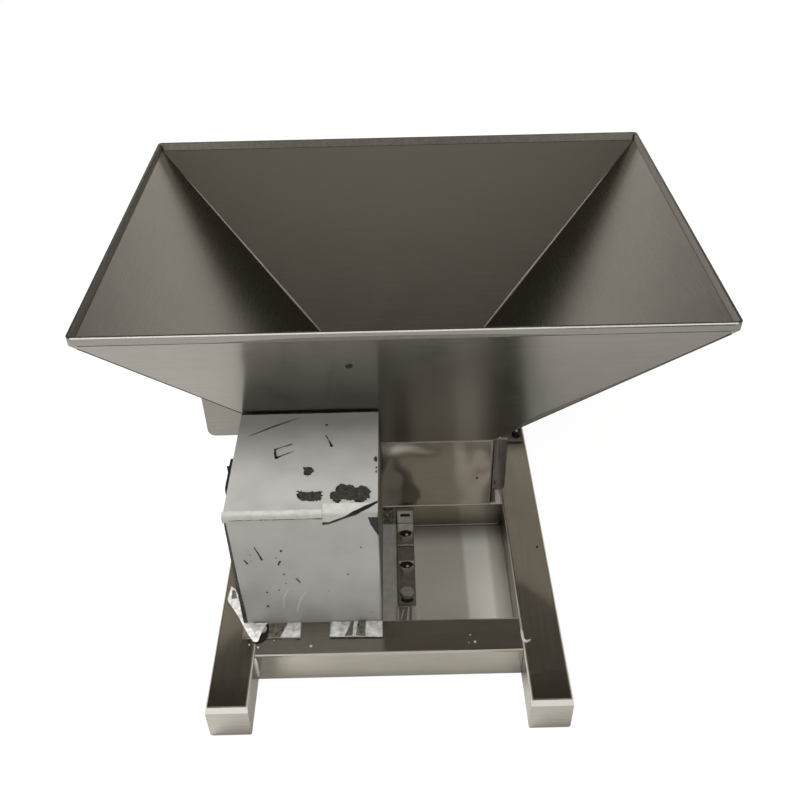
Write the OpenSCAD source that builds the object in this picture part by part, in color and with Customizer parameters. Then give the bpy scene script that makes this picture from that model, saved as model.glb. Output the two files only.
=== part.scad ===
// Bench bread crumb machine: a wide sheet hopper over a toothed roller, on a square-tube base.
// Millimetres, +Z up, origin on the floor under the middle of the whole machine.
// The modules work in base coordinates: X from the middle of the base, Y from the front ends
// of the rails, Z from the floor. placed() moves them to the origin.

/* [Hopper] */
// Width over the rim
rim_w = 628; // [580:1:680]
// Depth over the rim
rim_d = 450; // [420:1:520]
// Height of the rim above the floor
rim_h = 316; // [290:1:360]
// Distance of the rim's front edge in front of the throat
front_lean = 47; // [40:1:60]
// Height of the upright folded lip
lip_h = 10; // [6:0.5:16]
// Thickness of the folded lip
lip_t = 2.6; // [2.3:0.1:3.2]
// Corner radius of the lip, in plan
lip_r = 5; // [3.5:0.5:6]
// Width of the throat that feeds the chamber
throat_w = 190; // [160:1:220]
// Depth of the throat
throat_d = 198; // [180:1:220]
// Height of the throat above the roller's axis
throat_rise = 43; // [40:1:50]
// Sheet thickness of the hopper walls
hopper_t = 1.5; // [1:0.1:2]
// Reach of the gusset under the left wing beyond the throat
gusset_reach = 117; // [80:1:130]
// Height of the gusset's lower edge above the throat
gusset_rise = 15; // [10:1:25]
// Radius of the gusset's lower outer corner
gusset_r = 8; // [4:1:14]

/* [Base] */
// Outer size of the square tube
tube = 40; // [36:1:44]
// Wall of the square tube
tube_t = 1.5; // [1:0.1:2]
// Corner radius of the square tube
tube_r = 2.5; // [2.2:0.1:3]
// Clear width between the left rail and the left end plate, where the belt runs
belt_bay = 52; // [50:1:60]
// Clear width between the right end plate and the right rail
right_bay = 8; // [4:1:14]
// Distance of the front cross tube behind the front ends of the rails
front_tube_y = 60; // [45:1:80]
// Length of the rails behind the rear cross tube
rail_tail = 61; // [20:1:120]
// Thickness of the caps welded to the rail ends
cap_t = 5; // [4.5:0.5:8]
// Bevel ground on the upper edge of each cap
cap_bevel = 4; // [2:0.5:4]
// Thickness of the motor pan
pan_t = 2; // [1:0.5:3]
// Height of the pan above the floor
pan_lift = 2; // [1:0.5:4]

/* [Drive cover] */
// Height of the cover's top above the floor
cover_h = 196; // [185:1:215]
// Overlap of the cover on the left rail
cover_lap = 15; // [12:1:20]
// Clearance between the motor and the cover's right side
cover_side = 8; // [4:1:14]
// Gap between the cover's back and the hopper's front wall
cover_gap = 0.6; // [0.3:0.1:2]
// Sheet thickness of the cover
cover_t = 1.2; // [1:0.1:1.6]
// Outer bend radius of the cover
cover_r = 2.4; // [2:0.2:4]
// Depth of the front flange on the cross tube
flange_d = 20; // [16:1:24]
// Distance of the gap between the flange's two tabs from the cover's left side
flange_gap_x = 59; // [45:1:75]
// Width of the gap between the flange's two tabs
flange_gap_w = 29; // [10:1:32]
// Clearance on each side of the belt in the cover's rear slot
slot_side = 4; // [3:0.5:6]
// Clearance above the belt in the cover's rear slot
slot_over = 6; // [4:1:10]
// Radius of the cable gland's thread
gland_r = 8; // [7:0.5:10]
// Radius of the cable gland's bore
gland_bore = 4; // [3:0.5:5]
// Radius over the corners of the gland's hexagons
gland_hex = 11; // [10.5:0.5:13]
// Thickness of the gland's hexagons
gland_hex_t = 5; // [3:0.5:7]
// Length of the gland's tapered cap
gland_cap_l = 8; // [5:0.5:12]
// Radius of the gland's cap at its foot
gland_cap_r = 9; // [8.5:0.5:10]
// Radius of the gland's cap at its tip
gland_tip_r = 6; // [5.5:0.5:8]
// Height of the gland above the floor
gland_z = 78; // [60:1:100]
// Distance of the gland in front of the cover's back
gland_back = 20; // [14:1:40]

/* [Chamber] */
// Thickness of the front and rear walls
wall_t = 2; // [1.5:0.5:3]
// Thickness of the end plates
end_t = 4.8; // [4:0.2:5.6]
// Gap between the walls' ends and the end plates
end_gap = 0.2; // [0.1:0.1:0.4]
// Width of the end plates' front flanges
end_flange_w = 9; // [8:0.5:10]
// Thickness of the end plates' front flanges
end_flange_t = 3; // [2:0.5:4]
// Height of the flanges' lower ends above the cross tubes
end_flange_rise = 22; // [16:1:26]
// Radius of the flanges' lower outer corners
end_flange_r = 6; // [3:0.5:7]
// Length of the end plates' feet on the cross tubes
foot_l = 12; // [8:1:20]
// Gap between the end plates' aprons and the cross tubes
apron_gap = 1; // [0.5:0.5:2]
// Height of the aprons above the floor
apron_z = 14; // [8:1:20]
// Height of the lowest grate bar above the aprons' lower edge
apron_edge = 7; // [4:1:12]
// Thickness of the angle brackets
angle_t = 3; // [2:0.5:4]
// Width of the angle brackets
angle_w = 28; // [20:1:36]
// Height of the angle brackets
angle_h = 20; // [18:1:22]
// Margin of the angle brackets beyond their rail bolts
angle_edge = 6; // [5.5:0.5:8]
// Distance of the angle brackets behind the roller's axis
angle_back = 20; // [16:1:32]
// Distance of the right rail bolt from the rail's inner face
right_bolt_in = 30; // [12:1:32]
// Distance of the left rail bolt from the rail's inner face
left_bolt_in = 6.5; // [6:0.5:7]
// Height of the plate bolts above the rails
plate_bolt_rise = 13; // [11:0.5:13.5]

/* [Roller] */
// Radius over the teeth
tooth_r = 66; // [60:1:70]
// Depth of the teeth
tooth_depth = 9; // [6:0.5:11]
// Drop of each tooth's back edge below its tip
tooth_drop = 2; // [1:0.5:4]
// Teeth on each disc
tooth_count = 16; // [12:1:20]
// Thickness of a disc
disc_t = 4; // [3:0.5:5]
// Spacing of the discs
disc_pitch = 12; // [11:0.5:14]
// Radius of the spacer rings
spacer_r = 40; // [36:1:42]
// Radius of the roller shaft
shaft_r = 10; // [9:0.5:11]
// Side clearance between the roller and the end plates
roller_side = 1.5; // [1:0.25:3]
// Clearance of the combs and the grate round the roller
cut_gap = 3; // [2:0.5:4]
// Thickness of the comb fingers
finger_t = 6; // [4:0.5:6]
// Depth of the combs' bars
comb_bar_d = 12; // [8:1:16]
// Height of the combs' bars
comb_bar_h = 20; // [14:1:26]
// Height of the comb fingers' tips
comb_tip_h = 6; // [4:0.5:10]
// Diameter of the grate bars
bar_d = 5; // [4:0.5:6]
// Number of grate bars
bar_count = 11; // [7:2:11]
// Clearance between the outer grate bars and the cross tubes
grate_side = 5; // [3:1:10]

/* [Bearings] */
// Outer radius of the bearings
bearing_r = 21; // [20:0.5:23]
// Width of the bearings
bearing_w = 12; // [11:0.5:13]
// Distance of the bearings from the end plates' inner faces
bearing_inset = 0.8; // [0.4:0.1:1.4]
// Thickness of the bearings' inner rings
inner_race_t = 3.5; // [3:0.5:4]
// Thickness of the bearings' outer rings
outer_race_t = 3.5; // [3:0.5:4]
// Thickness of the bearings' shields
shield_t = 1; // [0.8:0.1:1.4]
// Outer radius of the bearing housings' hubs
housing_r = 30; // [27:0.5:32]
// Reach of the housings' hubs past the bearings
housing_over = 1; // [0.5:0.5:3]
// Thickness of the housings' flanges
housing_flange_t = 5; // [4:0.5:6]
// Distance of the flange bolts from the axis
ear_reach = 42; // [40:1:46]
// Radius of the flanges' ears
ear_r = 9; // [8:0.5:10]

/* [Drive] */
// Height of the motor's axis
motor_z = 88; // [84:1:92]
// Radius of the motor's housing
motor_r = 54; // [50:1:58]
// Length of the motor's housing
motor_l = 54; // [48:1:60]
// Length of each end bell
bell_l = 14; // [10:1:16]
// Height of the end bells' straight rim
bell_rim = 6; // [3:0.5:8]
// Width of the end bells' slope
bell_slope = 9; // [6:0.5:12]
// Number of vents in each end bell
vent_count = 8; // [6:1:10]
// Radius of the vents
vent_r = 5; // [3:0.5:6]
// Radius of the ring of vents
vent_ring = 33; // [26:1:36]
// Depth of the vents
vent_d = 7; // [4:0.5:9]
// Number of cooling fins
fin_count = 20; // [12:1:24]
// Height of the cooling fins
fin_h = 3; // [2:0.5:5]
// Thickness of the cooling fins
fin_t = 2.5; // [1.5:0.5:4]
// Thickness of the motor's feet
foot_t = 8; // [6:0.5:10]
// Distance of the foot bolts beyond the housing's radius
foot_bolt_out = 6; // [5:0.5:8]
// Margin of the feet beyond their bolts
foot_edge = 7; // [6:0.5:9]
// Distance of the foot bolts from the housing's ends
foot_bolt_in = 12; // [8:1:16]
// Thickness of the webs over the feet
web_t = 10; // [6:1:14]
// Distance of the webs inside the housing's radius
web_in = 22; // [18:1:26]
// Clearance between the front cross tube and the motor's feet
bay_front = 3; // [2:0.5:8]
// Clearance between the motor's feet and the middle cross tube
bay_back = 24; // [20:1:34]
// Radius of the motor shaft
motor_shaft_r = 7; // [6:0.5:8]
// Distance of the belt to the left of the left end plate
belt_off = 38; // [36:1:40]
// Outer radius of the belt on the motor pulley
belt_r1 = 30; // [26:1:32]
// Outer radius of the belt on the roller pulley
belt_r2 = 45; // [42:1:46]
// Top width of the belt
belt_w = 10; // [9:0.5:11]
// Thickness of the belt
belt_t = 6; // [5:0.5:7]
// Slope of the belt's sides, in degrees
belt_angle = 20; // [17:1:22]
// Running gap between belt and grooves
belt_gap = 0.3; // [0.2:0.1:0.5]
// Depth of the grooves under the belt
groove_floor = 1.5; // [1:0.5:2.5]
// Width of the pulleys' rims beside the belt
pulley_side = 5; // [3:0.5:6]
// Wall of the pulleys' hubs
hub_wall = 3.5; // [3:0.5:5]
// Length of the motor pulley's hub
motor_hub_l = 11; // [6:1:16]
// Clearance between the motor pulley's hub and the motor
hub_gap = 1; // [0.5:0.5:2]
// Reach of the motor shaft past its pulley
shaft_over = 2; // [1:0.5:6]
// Distance of the shaft's right end inside the motor's end bell
shaft_in = 2; // [1:0.5:4]
// Length of the roller's nut
nut_l = 8; // [6:0.5:10]
// Wall of the roller's nut, to the corners
nut_wall = 7; // [5:0.5:9]

/* [Motor plate] */
// Thickness of the motor's base plate
plate_t = 6; // [5:0.5:8]
// Distance of the plate's left edge from the cover's left side
plate_left = 22; // [18:1:26]
// Gap between the front cross tube and the plate
plate_front = 2; // [1:0.5:3]
// Distance of the left plate bolts from the plate's left edge
plate_bolt_in = 11; // [9:0.5:13]
// Distance of the left plate bolts from the plate's ends
plate_bolt_end = 20; // [12:1:30]
// Distance of the foot lugs from the cover's right side
lug_gap = 16; // [8:1:24]
// Width of the foot lugs
lug_w = 19; // [17:1:21]
// Thickness of the foot lugs
lug_t = 5; // [4:0.5:6]
// Distance of the front lug behind the front cross tube
lug_front = 40; // [20:1:46]
// Length of the rear lug
lug_rear_l = 39; // [34:1:44]
// Seam between the lugs
lug_seam = 2; // [0.5:0.5:3]
// Distance of the front lug's bolts from its ends
lug_bolt_front = 12; // [10:1:20]
// Distance of the front lug's second bolt from the seam
lug_bolt_back = 32; // [10:1:34]
// Distance of the rear lug's bolt from the middle cross tube
lug_bolt_rear = 26; // [14:1:28]
// Thickness of the rear lug's upturned tab
tab_t = 4; // [3:0.5:5]
// Height of the tab above the lugs
tab_h = 21; // [16:1:24]
// Height of the tab's slot above the lugs
tab_slot_z = 12; // [8:1:14]
// Width of the tab's slot
tab_slot_w = 12; // [8:1:13]
// Height of the tab's slot
tab_slot_h = 4; // [3:0.5:6]

/* [Belt guard] */
// Width of the guard
guard_w = 46; // [44:1:48]
// Height of the guard above the roller pulley
guard_over = 11; // [6:1:14]
// Reach of the guard behind the roller pulley
guard_behind = 18; // [10:1:30]
// Distance of the guard's outer side inside the cover's left side
guard_in = 1; // [0.5:0.5:2]
// Gap between the cover's back and the guard
guard_gap = 1; // [0.5:0.5:2]

/* [Switch] */
// Length of the switch bezel
switch_l = 44; // [40:1:48]
// Height of the switch bezel
switch_h = 26; // [24:1:26]
// Distance of the switch's middle behind the cover's front
switch_y = 60; // [50:1:80]
// Distance of the switch's middle below the cover's top
switch_drop = 15.5; // [15.5:0.5:24]
// Thickness of the bezel
bezel_t = 3.2; // [2:0.2:3.6]
// Corner radius of the bezel
bezel_r = 3; // [1:0.5:5]
// Margin of the bezel round the switch body
bezel_lap = 3; // [2.4:0.2:3.4]
// Depth of the switch body
switch_deep = 20; // [16:1:24]
// Half of the rocker's length
rocker_half = 16; // [14:0.5:16]
// Height of the rocker
rocker_h = 16; // [12:0.5:17]
// Reach of the rocker's ends in front of the cover's side
rocker_out = 4.4; // [3:0.2:5]
// Reach of the rocker's middle in front of the cover's side
rocker_mid = 2.4; // [2:0.2:2.8]
// Depth of the rocker behind its pivot
rocker_back = 3; // [2:0.5:4]
// Clearance above and below the rocker
rocker_gap = 0.4; // [0.3:0.1:0.8]
// Clearance at the rocker's ends
rocker_end = 2; // [1.5:0.5:2.5]
// Depth of the rocker's pocket
pocket_deep = 8; // [7:0.5:12]
// Tilt of the rocker at rest, in degrees
rocker_tilt = 10; // [6:1:12]
// Radius of the rocker's pivot pin
pin_r = 1.2; // [1:0.1:1.6]
// Length of the pin's seats
pin_out = 1; // [0.5:0.1:1.4]

/* [Fasteners] */
// Radius of the large bolts
m8_r = 4; // [3.5:0.5:4.5]
// Radius over the corners of the large bolt heads
m8_head_r = 7.5; // [7:0.1:8]
// Height of the large bolt heads
m8_head_h = 5.3; // [4:0.1:6]
// Radius of the small bolts
m6_r = 3; // [2.5:0.5:3.5]
// Radius over the corners of the small bolt heads
m6_head_r = 5.7; // [5.2:0.1:5.9]
// Height of the small bolt heads
m6_head_h = 4; // [3:0.1:4.5]
// Radius of the cover screws
screw_r = 2.5; // [2:0.5:3]
// Radius of the cover screws' heads
screw_head_r = 4.6; // [4:0.1:5.5]
// Height of the cover screws' heads
screw_head_h = 2.4; // [1.6:0.2:3]

/* [Clearances] */
// Gap between welded sheet edges and a sloping wall
weld_gap = 0.1; // [0.05:0.05:0.3]
// Clearance of a shaft or ring in its seat
seat_gap = 0.02; // [0.01:0.01:0.05]
// Clearance of the motor shaft and the rocker's pin in their bores
run_gap = 0.05; // [0.02:0.01:0.1]
// Clearance between a turning ring and its shield
shield_gap = 0.3; // [0.2:0.1:0.5]
// Clearance of a bolt in its hole
bolt_gap = 0.4; // [0.2:0.1:0.6]
// Clearance of the switch and the gland in the cover's cut-outs
cutout_gap = 0.2; // [0.1:0.1:0.4]

/* [Hidden] */
$fn = 64;

STEEL = "silver";
DARK = "dimgray";
BLACK = "black";
// Overlap of cutting and joining solids
eps = 0.01;

// Places across the base
end_x = throat_w / 2 + wall_t + end_gap;
rail_x = (belt_bay + right_bay) / 2 + end_x + end_t;
base_w = 2 * (rail_x + tube);
hopper_shift = (belt_bay - right_bay) / 2;
right_face = hopper_shift + end_x + end_t;
left_face = hopper_shift - end_x - end_t;

// Places along the base
front_tube_back = front_tube_y + tube;
motor_foot_y = motor_r + foot_bolt_out;
foot_y = motor_foot_y + foot_edge;
motor_y = front_tube_back + bay_front + foot_y;
mid_tube_y = motor_y + foot_y + bay_back;
throat_y = mid_tube_y;
throat_back = throat_y + throat_d;
rear_tube_y = throat_back - tube;
rail_l = throat_back + rail_tail;
rim_setback = throat_y - front_lean;
overall_d = rim_setback + rim_d;

// Roller
grate_r = tooth_r + cut_gap + bar_d / 2;
roller_y = throat_y + throat_d / 2;
roller_z = apron_z + apron_edge + bar_d / 2 + grate_r;
throat_h = roller_z + throat_rise;
drum_w = 2 * (end_x - roller_side);
disc_count = 2 * floor((drum_w - disc_t) / 2 / disc_pitch) + 1;
disc_gap = disc_pitch - disc_t;
stack_w = (disc_count - 1) * disc_pitch + disc_t;
// Angle from straight down to the outer grate bars, which keep clear of the cross tubes
grate_angle = asin((throat_d / 2 - tube - bar_d / 2 - grate_side) / grate_r);
bearing_x = end_x + bearing_inset;
bearing_in_r = shaft_r + inner_race_t;
housing_l = bearing_inset + bearing_w - end_t + housing_over;

// Hopper corners, from the front left round to the back left, about the hopper's own middle
slope_h = rim_h - lip_h - throat_h;
lip_fold = lip_r * (1 - sqrt(0.5));
side_run = rim_w / 2 - lip_fold - throat_w / 2;
front_run = throat_y - rim_setback - lip_fold;
back_run = overall_d - lip_fold - throat_back;
side_t = hopper_t * sqrt(slope_h * slope_h + side_run * side_run) / slope_h;
front_t = hopper_t * sqrt(slope_h * slope_h + front_run * front_run) / slope_h;
back_t = hopper_t * sqrt(slope_h * slope_h + back_run * back_run) / slope_h;
function ring_at(rise, inset) =
    let (k = rise / slope_h,
         x = throat_w / 2 + k * side_run - inset * side_t,
         y0 = throat_y - k * front_run + inset * front_t,
         y1 = throat_back + k * back_run - inset * back_t,
         z = throat_h + rise)
    [[-x, y0, z], [x, y0, z], [x, y1, z], [-x, y1, z]];

// Drive
belt_x = left_face - belt_off;
belt_in_w = belt_w - 2 * belt_t * tan(belt_angle);
pulley_w = belt_w + 2 * pulley_side;
motor_x0 = belt_x + pulley_w / 2 + motor_hub_l + hub_gap;
motor_x1 = motor_x0 + motor_l + 2 * bell_l;
motor_mid_x = (motor_x0 + motor_x1) / 2;
motor_foot_x = motor_l / 2 - foot_bolt_in;

// Cover
cover_x0 = -rail_x - cover_lap;
cover_right = motor_x1 + cover_side;
cover_w = cover_right - cover_x0;
cover_y0 = front_tube_back - cover_t;
cover_y1 = throat_y - (cover_h - throat_h) / slope_h * front_run - cover_gap;
cover_d = cover_y1 - cover_y0;
screw_xs = [cover_x0 + flange_d, cover_right - flange_d];
screw_y = front_tube_back - flange_d / 2;
gland_y = cover_y1 - gland_back;
switch_place = [cover_x0, cover_y0 + switch_y, cover_h - switch_drop];

// Motor plate
plate_z = pan_lift + pan_t;
plate_top = plate_z + plate_t;
lug_top = plate_top + lug_t;
lug_x = cover_right + lug_gap;
plate_x0 = cover_x0 + plate_left;
plate_x1 = lug_x + lug_w;
plate_y0 = front_tube_back + plate_front;
plate_y1 = mid_tube_y;
lug_y0 = front_tube_back + lug_front;
lug_split = mid_tube_y - lug_rear_l;
lug_bolt_x = lug_x + lug_w / 2;
lug_bolt_ys = [lug_y0 + lug_bolt_front, lug_split - lug_seam - lug_bolt_back, mid_tube_y - lug_bolt_rear];
left_bolt_ys = [plate_y0 + plate_bolt_end, plate_y1 - plate_bolt_end];
base_left_x = plate_x0 + plate_bolt_in;

module placed() translate([-hopper_shift, -overall_d / 2, 0]) children();
module at_hopper() placed() translate([hopper_shift, 0, 0]) children();
// Turns a solid made along Z to lie along X
module along_x() rotate([90, 0, 90]) children();

module rounded_rect(w, d, r) {
    translate([r, 0]) square([w - 2 * r, d]);
    translate([0, r]) square([w, d - 2 * r]);
    for (x = [r, w - r], y = [r, d - r])
        translate([x, y]) circle(r);
}

// Square tube section with rounded corners
module tube_section() {
    difference() {
        rounded_rect(tube, tube, tube_r);
        translate([tube_t, tube_t])
            rounded_rect(tube - 2 * tube_t, tube - 2 * tube_t, tube_r - tube_t);
    }
}

module rail(x) {
    placed() color(STEEL)
        translate([x, rail_l - cap_t, 0]) rotate([90, 0, 0])
            linear_extrude(rail_l - 2 * cap_t) tube_section();
}

module left_rail() rail(-base_w / 2);

module right_rail() rail(rail_x);

module cross_tube(y) {
    placed() color(STEEL)
        translate([-rail_x, y, 0]) along_x()
            linear_extrude(2 * rail_x) tube_section();
}

module front_cross_tube() cross_tube(front_tube_y);

module middle_cross_tube() cross_tube(mid_tube_y);

module rear_cross_tube() cross_tube(rear_tube_y);

// Cap welded to a rail's front end, its upper edge ground to a bevel
module end_cap() {
    difference() {
        translate([0, cap_t, 0]) rotate([90, 0, 0])
            linear_extrude(cap_t) rounded_rect(tube, tube, tube_r);
        translate([-eps, 0, 0]) along_x()
            linear_extrude(tube + 2 * eps)
                polygon([[-eps, tube - cap_bevel - eps], [cap_bevel + eps, tube + eps], [-eps, tube + eps]]);
    }
}

module rail_end_caps() {
    placed() color(STEEL)
        for (x = [-base_w / 2, rail_x]) {
            translate([x, 0, 0]) end_cap();
            translate([x, rail_l, 0]) mirror([0, 1, 0]) end_cap();
        }
}

// Flat pan welded between the rails and the front two cross tubes
module motor_pan() {
    placed() color("lightgray")
        translate([-rail_x, front_tube_back, pan_lift])
            cube([2 * rail_x, mid_tube_y - front_tube_back, pan_t]);
}

// One flat hopper wall with mitred ends; side 0 is the front, counting towards the right
module hopper_wall(side) {
    next = (side + 1) % 4;
    ob = ring_at(0, 0);
    ot = ring_at(slope_h, 0);
    ib = ring_at(0, 1);
    it = ring_at(slope_h, 1);
    at_hopper() color(STEEL)
        polyhedron(
            points = [ob[side], ob[next], ot[next], ot[side], ib[side], ib[next], it[next], it[side]],
            faces = [[3, 2, 1, 0], [4, 5, 6, 7], [0, 1, 5, 4], [3, 7, 6, 2], [0, 4, 7, 3], [1, 2, 6, 5]]);
}

module hopper_front_wall() hopper_wall(0);

module hopper_right_wall() hopper_wall(1);

module hopper_back_wall() hopper_wall(2);

module hopper_left_wall() hopper_wall(3);

// Upright folded lip round the hopper's mouth
module hopper_rim() {
    at_hopper() color(STEEL)
        translate([-rim_w / 2, rim_setback, rim_h - lip_h])
            linear_extrude(lip_h) difference() {
                rounded_rect(rim_w, rim_d, lip_r);
                translate([lip_t, lip_t])
                    rounded_rect(rim_w - 2 * lip_t, rim_d - 2 * lip_t, lip_r - lip_t / 2);
            }
}

// Gusset under the hopper's left wing, with a rounded lower corner
function wing_z(x) = throat_h + (x - throat_w / 2) * slope_h / side_run - weld_gap;
module hopper_bracket() {
    outer_x = throat_w / 2 + gusset_reach;
    inner_x = throat_w / 2 + (gusset_rise + weld_gap) * side_run / slope_h + wall_t / 2;
    low = throat_h + gusset_rise;
    round_corner = [for (a = [180 : 15 : 270])
        [gusset_r - outer_x, low + gusset_r] + gusset_r * [cos(a), sin(a)]];
    at_hopper() color(STEEL)
        translate([0, throat_y + wall_t, 0]) rotate([90, 0, 0])
            linear_extrude(wall_t)
                polygon(concat([[-inner_x, low], [-inner_x, wing_z(inner_x)], [-outer_x, wing_z(outer_x)]],
                               round_corner));
}

module chamber_wall(y) {
    at_hopper() color(STEEL)
        translate([-throat_w / 2 - wall_t, y, tube])
            cube([throat_w + 2 * wall_t, wall_t, throat_h - tube]);
}

module chamber_front_wall() chamber_wall(throat_y);

module chamber_rear_wall() chamber_wall(throat_back - wall_t);

// End plate outline, Y across and Z up: feet on the cross tubes and an apron between them
end_flange_z = tube + end_flange_rise;
module end_outline() {
    y0 = throat_y + end_flange_t;
    y1 = mid_tube_y + tube;
    difference() {
        polygon([[y0, end_flange_z], [y1 - foot_l, end_flange_z], [y1 - foot_l, tube],
                 [y1 + apron_gap, tube], [y1 + apron_gap, apron_z],
                 [rear_tube_y - apron_gap, apron_z], [rear_tube_y - apron_gap, tube],
                 [throat_back, tube], [throat_back, throat_h], [y0, throat_h]]);
        translate([roller_y, roller_z]) circle(bearing_r + seat_gap);
        for (side = [-1, 1])
            translate([roller_y + side * ear_reach, roller_z]) circle(m6_r + bolt_gap);
    }
}

// End plate on the right, with a front flange whose lower outer corner is round
module end_plate() {
    lap = end_t / 4;
    flange_w = end_flange_w + lap;
    translate([end_x, 0, 0]) along_x() linear_extrude(end_t) end_outline();
    translate([end_x + end_t - lap, throat_y + end_flange_t, end_flange_z]) rotate([90, 0, 0])
        linear_extrude(end_flange_t) {
            translate([0, end_flange_r])
                square([flange_w, throat_h - end_flange_z - end_flange_r]);
            square([flange_w - end_flange_r, end_flange_r]);
            translate([flange_w - end_flange_r, end_flange_r]) circle(end_flange_r);
        }
}

module left_end_plate() at_hopper() color(STEEL) mirror([1, 0, 0]) end_plate();

module right_end_plate() at_hopper() color(STEEL) end_plate();

// Angle brackets that tie the end plates to the rails
angle_y = roller_y + angle_back;
right_bolt_x = rail_x + right_bolt_in;
left_bolt_x = -rail_x - left_bolt_in;
plate_bolt_z = tube + plate_bolt_rise;
module angle_bracket(face, bolt_x, side) {
    reach = side * (bolt_x - face) + angle_edge;
    placed() color(STEEL)
        difference() {
            translate([face, angle_y - angle_w / 2, tube]) mirror([side < 0 ? 1 : 0, 0, 0]) {
                cube([reach, angle_w, angle_t]);
                cube([angle_t, angle_w, angle_h]);
            }
            translate([bolt_x, angle_y, tube - eps])
                cylinder(r = m6_r + bolt_gap, h = angle_t + 2 * eps);
            translate([face - angle_t - eps, angle_y, plate_bolt_z]) along_x()
                cylinder(r = m6_r + bolt_gap, h = 2 * angle_t + 2 * eps);
        }
}

module left_plate_bracket() angle_bracket(left_face, left_bolt_x, -1);

module right_plate_bracket() angle_bracket(right_face, right_bolt_x, 1);

// Hexagon bolt pointing down, its head on the plane Z = 0
module hex_bolt(r, head_r, head_h, grip) {
    cylinder(r = head_r, h = head_h, $fn = 6);
    translate([0, 0, -grip]) cylinder(r = r, h = grip + eps);
}

module bracket_bolts() {
    placed() color(DARK) {
        for (x = [left_bolt_x, right_bolt_x])
            translate([x, angle_y, tube + angle_t]) hex_bolt(m6_r, m6_head_r, m6_head_h, angle_t);
        translate([right_face + angle_t, angle_y, plate_bolt_z]) rotate([0, 90, 0])
            hex_bolt(m6_r, m6_head_r, m6_head_h, angle_t);
        translate([left_face - angle_t, angle_y, plate_bolt_z]) rotate([0, -90, 0])
            hex_bolt(m6_r, m6_head_r, m6_head_h, angle_t);
    }
}

// Fixed comb: a bar on the wall, with pointed fingers that reach between the discs
module comb(wall_y, side) {
    root_y = wall_y + side * comb_bar_d;
    tip_y = roller_y - side * (spacer_r + cut_gap);
    low = roller_z - comb_tip_h / 2;
    at_hopper() color(STEEL) {
        translate([-throat_w / 2, min(wall_y, root_y), low])
            cube([throat_w, comb_bar_d, comb_bar_h]);
        for (i = [1 : disc_count - 1])
            translate([(i - disc_count / 2) * disc_pitch - finger_t / 2, 0, 0]) along_x()
                linear_extrude(finger_t)
                    polygon([[root_y - side * eps, low], [tip_y, low], [tip_y, low + comb_tip_h],
                             [root_y - side * eps, low + comb_bar_h]]);
    }
}

module front_comb() comb(throat_y + wall_t, 1);

module rear_comb() comb(throat_back - wall_t, -1);

// Round bars on an arc under the roller, held between the end plates
module crumb_grate() {
    at_hopper() color(STEEL)
        for (i = [0 : bar_count - 1]) {
            a = grate_angle * (2 * i / (bar_count - 1) - 1);
            translate([-end_x, roller_y + grate_r * sin(a), roller_z - grate_r * cos(a)]) along_x()
                cylinder(d = bar_d, h = 2 * end_x);
        }
}

module at_roller() at_hopper() translate([0, roller_y, roller_z]) along_x() children();
// Repeats a solid at the right end and, mirrored, at the left end of the roller
module both_ends() {
    children();
    mirror([0, 0, 1]) children();
}

module ring(r_in, r_out, h) {
    difference() {
        cylinder(r = r_out, h = h);
        translate([0, 0, -eps]) cylinder(r = r_in, h = h + 2 * eps);
    }
}

// Two-bolt housing outside the right end plate: an oval flange with a raised hub
module bearing_housing() {
    difference() {
        translate([0, 0, end_x + end_t]) {
            cylinder(r = housing_r, h = housing_l);
            linear_extrude(housing_flange_t) hull() {
                circle(housing_r);
                for (side = [-1, 1])
                    translate([side * ear_reach, 0]) circle(ear_r, $fn = 32);
            }
        }
        translate([0, 0, end_x]) {
            cylinder(r = bearing_r + seat_gap, h = end_t + 2 * housing_l);
            for (side = [-1, 1])
                translate([side * ear_reach, 0, 0])
                    cylinder(r = m6_r + bolt_gap, h = end_t + 2 * housing_flange_t);
        }
    }
}

module left_bearing_housing() at_roller() color(DARK) mirror([0, 0, 1]) bearing_housing();

module right_bearing_housing() at_roller() color(DARK) bearing_housing();

// Bolts through the housings' ears into the end plates
module housing_bolts() {
    at_roller() color("silver") both_ends()
        for (side = [-1, 1])
            translate([side * ear_reach, 0, end_x + end_t + housing_flange_t])
                hex_bolt(m6_r, m6_head_r, m6_head_h, end_t + housing_flange_t);
}

// Sealed ball bearings: outer rings with their shields, and inner rings
module bearing_outer_rings() {
    shield_in = bearing_in_r + shield_gap;
    race_in = bearing_r - outer_race_t;
    at_roller() color("silver") both_ends()
        translate([0, 0, bearing_x]) rotate_extrude()
            polygon([[bearing_r, 0], [bearing_r, bearing_w], [shield_in, bearing_w],
                     [shield_in, bearing_w - shield_t], [race_in, bearing_w - shield_t],
                     [race_in, shield_t], [shield_in, shield_t], [shield_in, 0]]);
}

module bearing_inner_rings() {
    at_roller() color("silver") both_ends()
        translate([0, 0, bearing_x]) ring(shaft_r + seat_gap, bearing_in_r, bearing_w);
}

// Roller shaft, from the nut on the left to the end of the right bearing's housing
shaft_left = end_x + end_t + belt_off + pulley_w / 2 + nut_l;
shaft_right = end_x + end_t + housing_l;
module roller_shaft() {
    at_roller() color("silver")
        translate([0, 0, -shaft_left]) cylinder(r = shaft_r, h = shaft_left + shaft_right);
}

// Saw-toothed disc: each tooth has a steep cutting face and a long back
module toothed_disc(turn) {
    step = 360 / tooth_count;
    // Radius of each corner of a tooth, and its share of the tooth's step
    corners = [[tooth_r - tooth_depth, 0], [tooth_r, 0.12], [tooth_r - tooth_drop, 0.3]];
    linear_extrude(disc_t, center = true) difference() {
        rotate(turn) polygon([for (i = [0 : tooth_count - 1], c = corners)
            c[0] * [cos((i + c[1]) * step), sin((i + c[1]) * step)]]);
        circle(shaft_r + seat_gap);
    }
}

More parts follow.
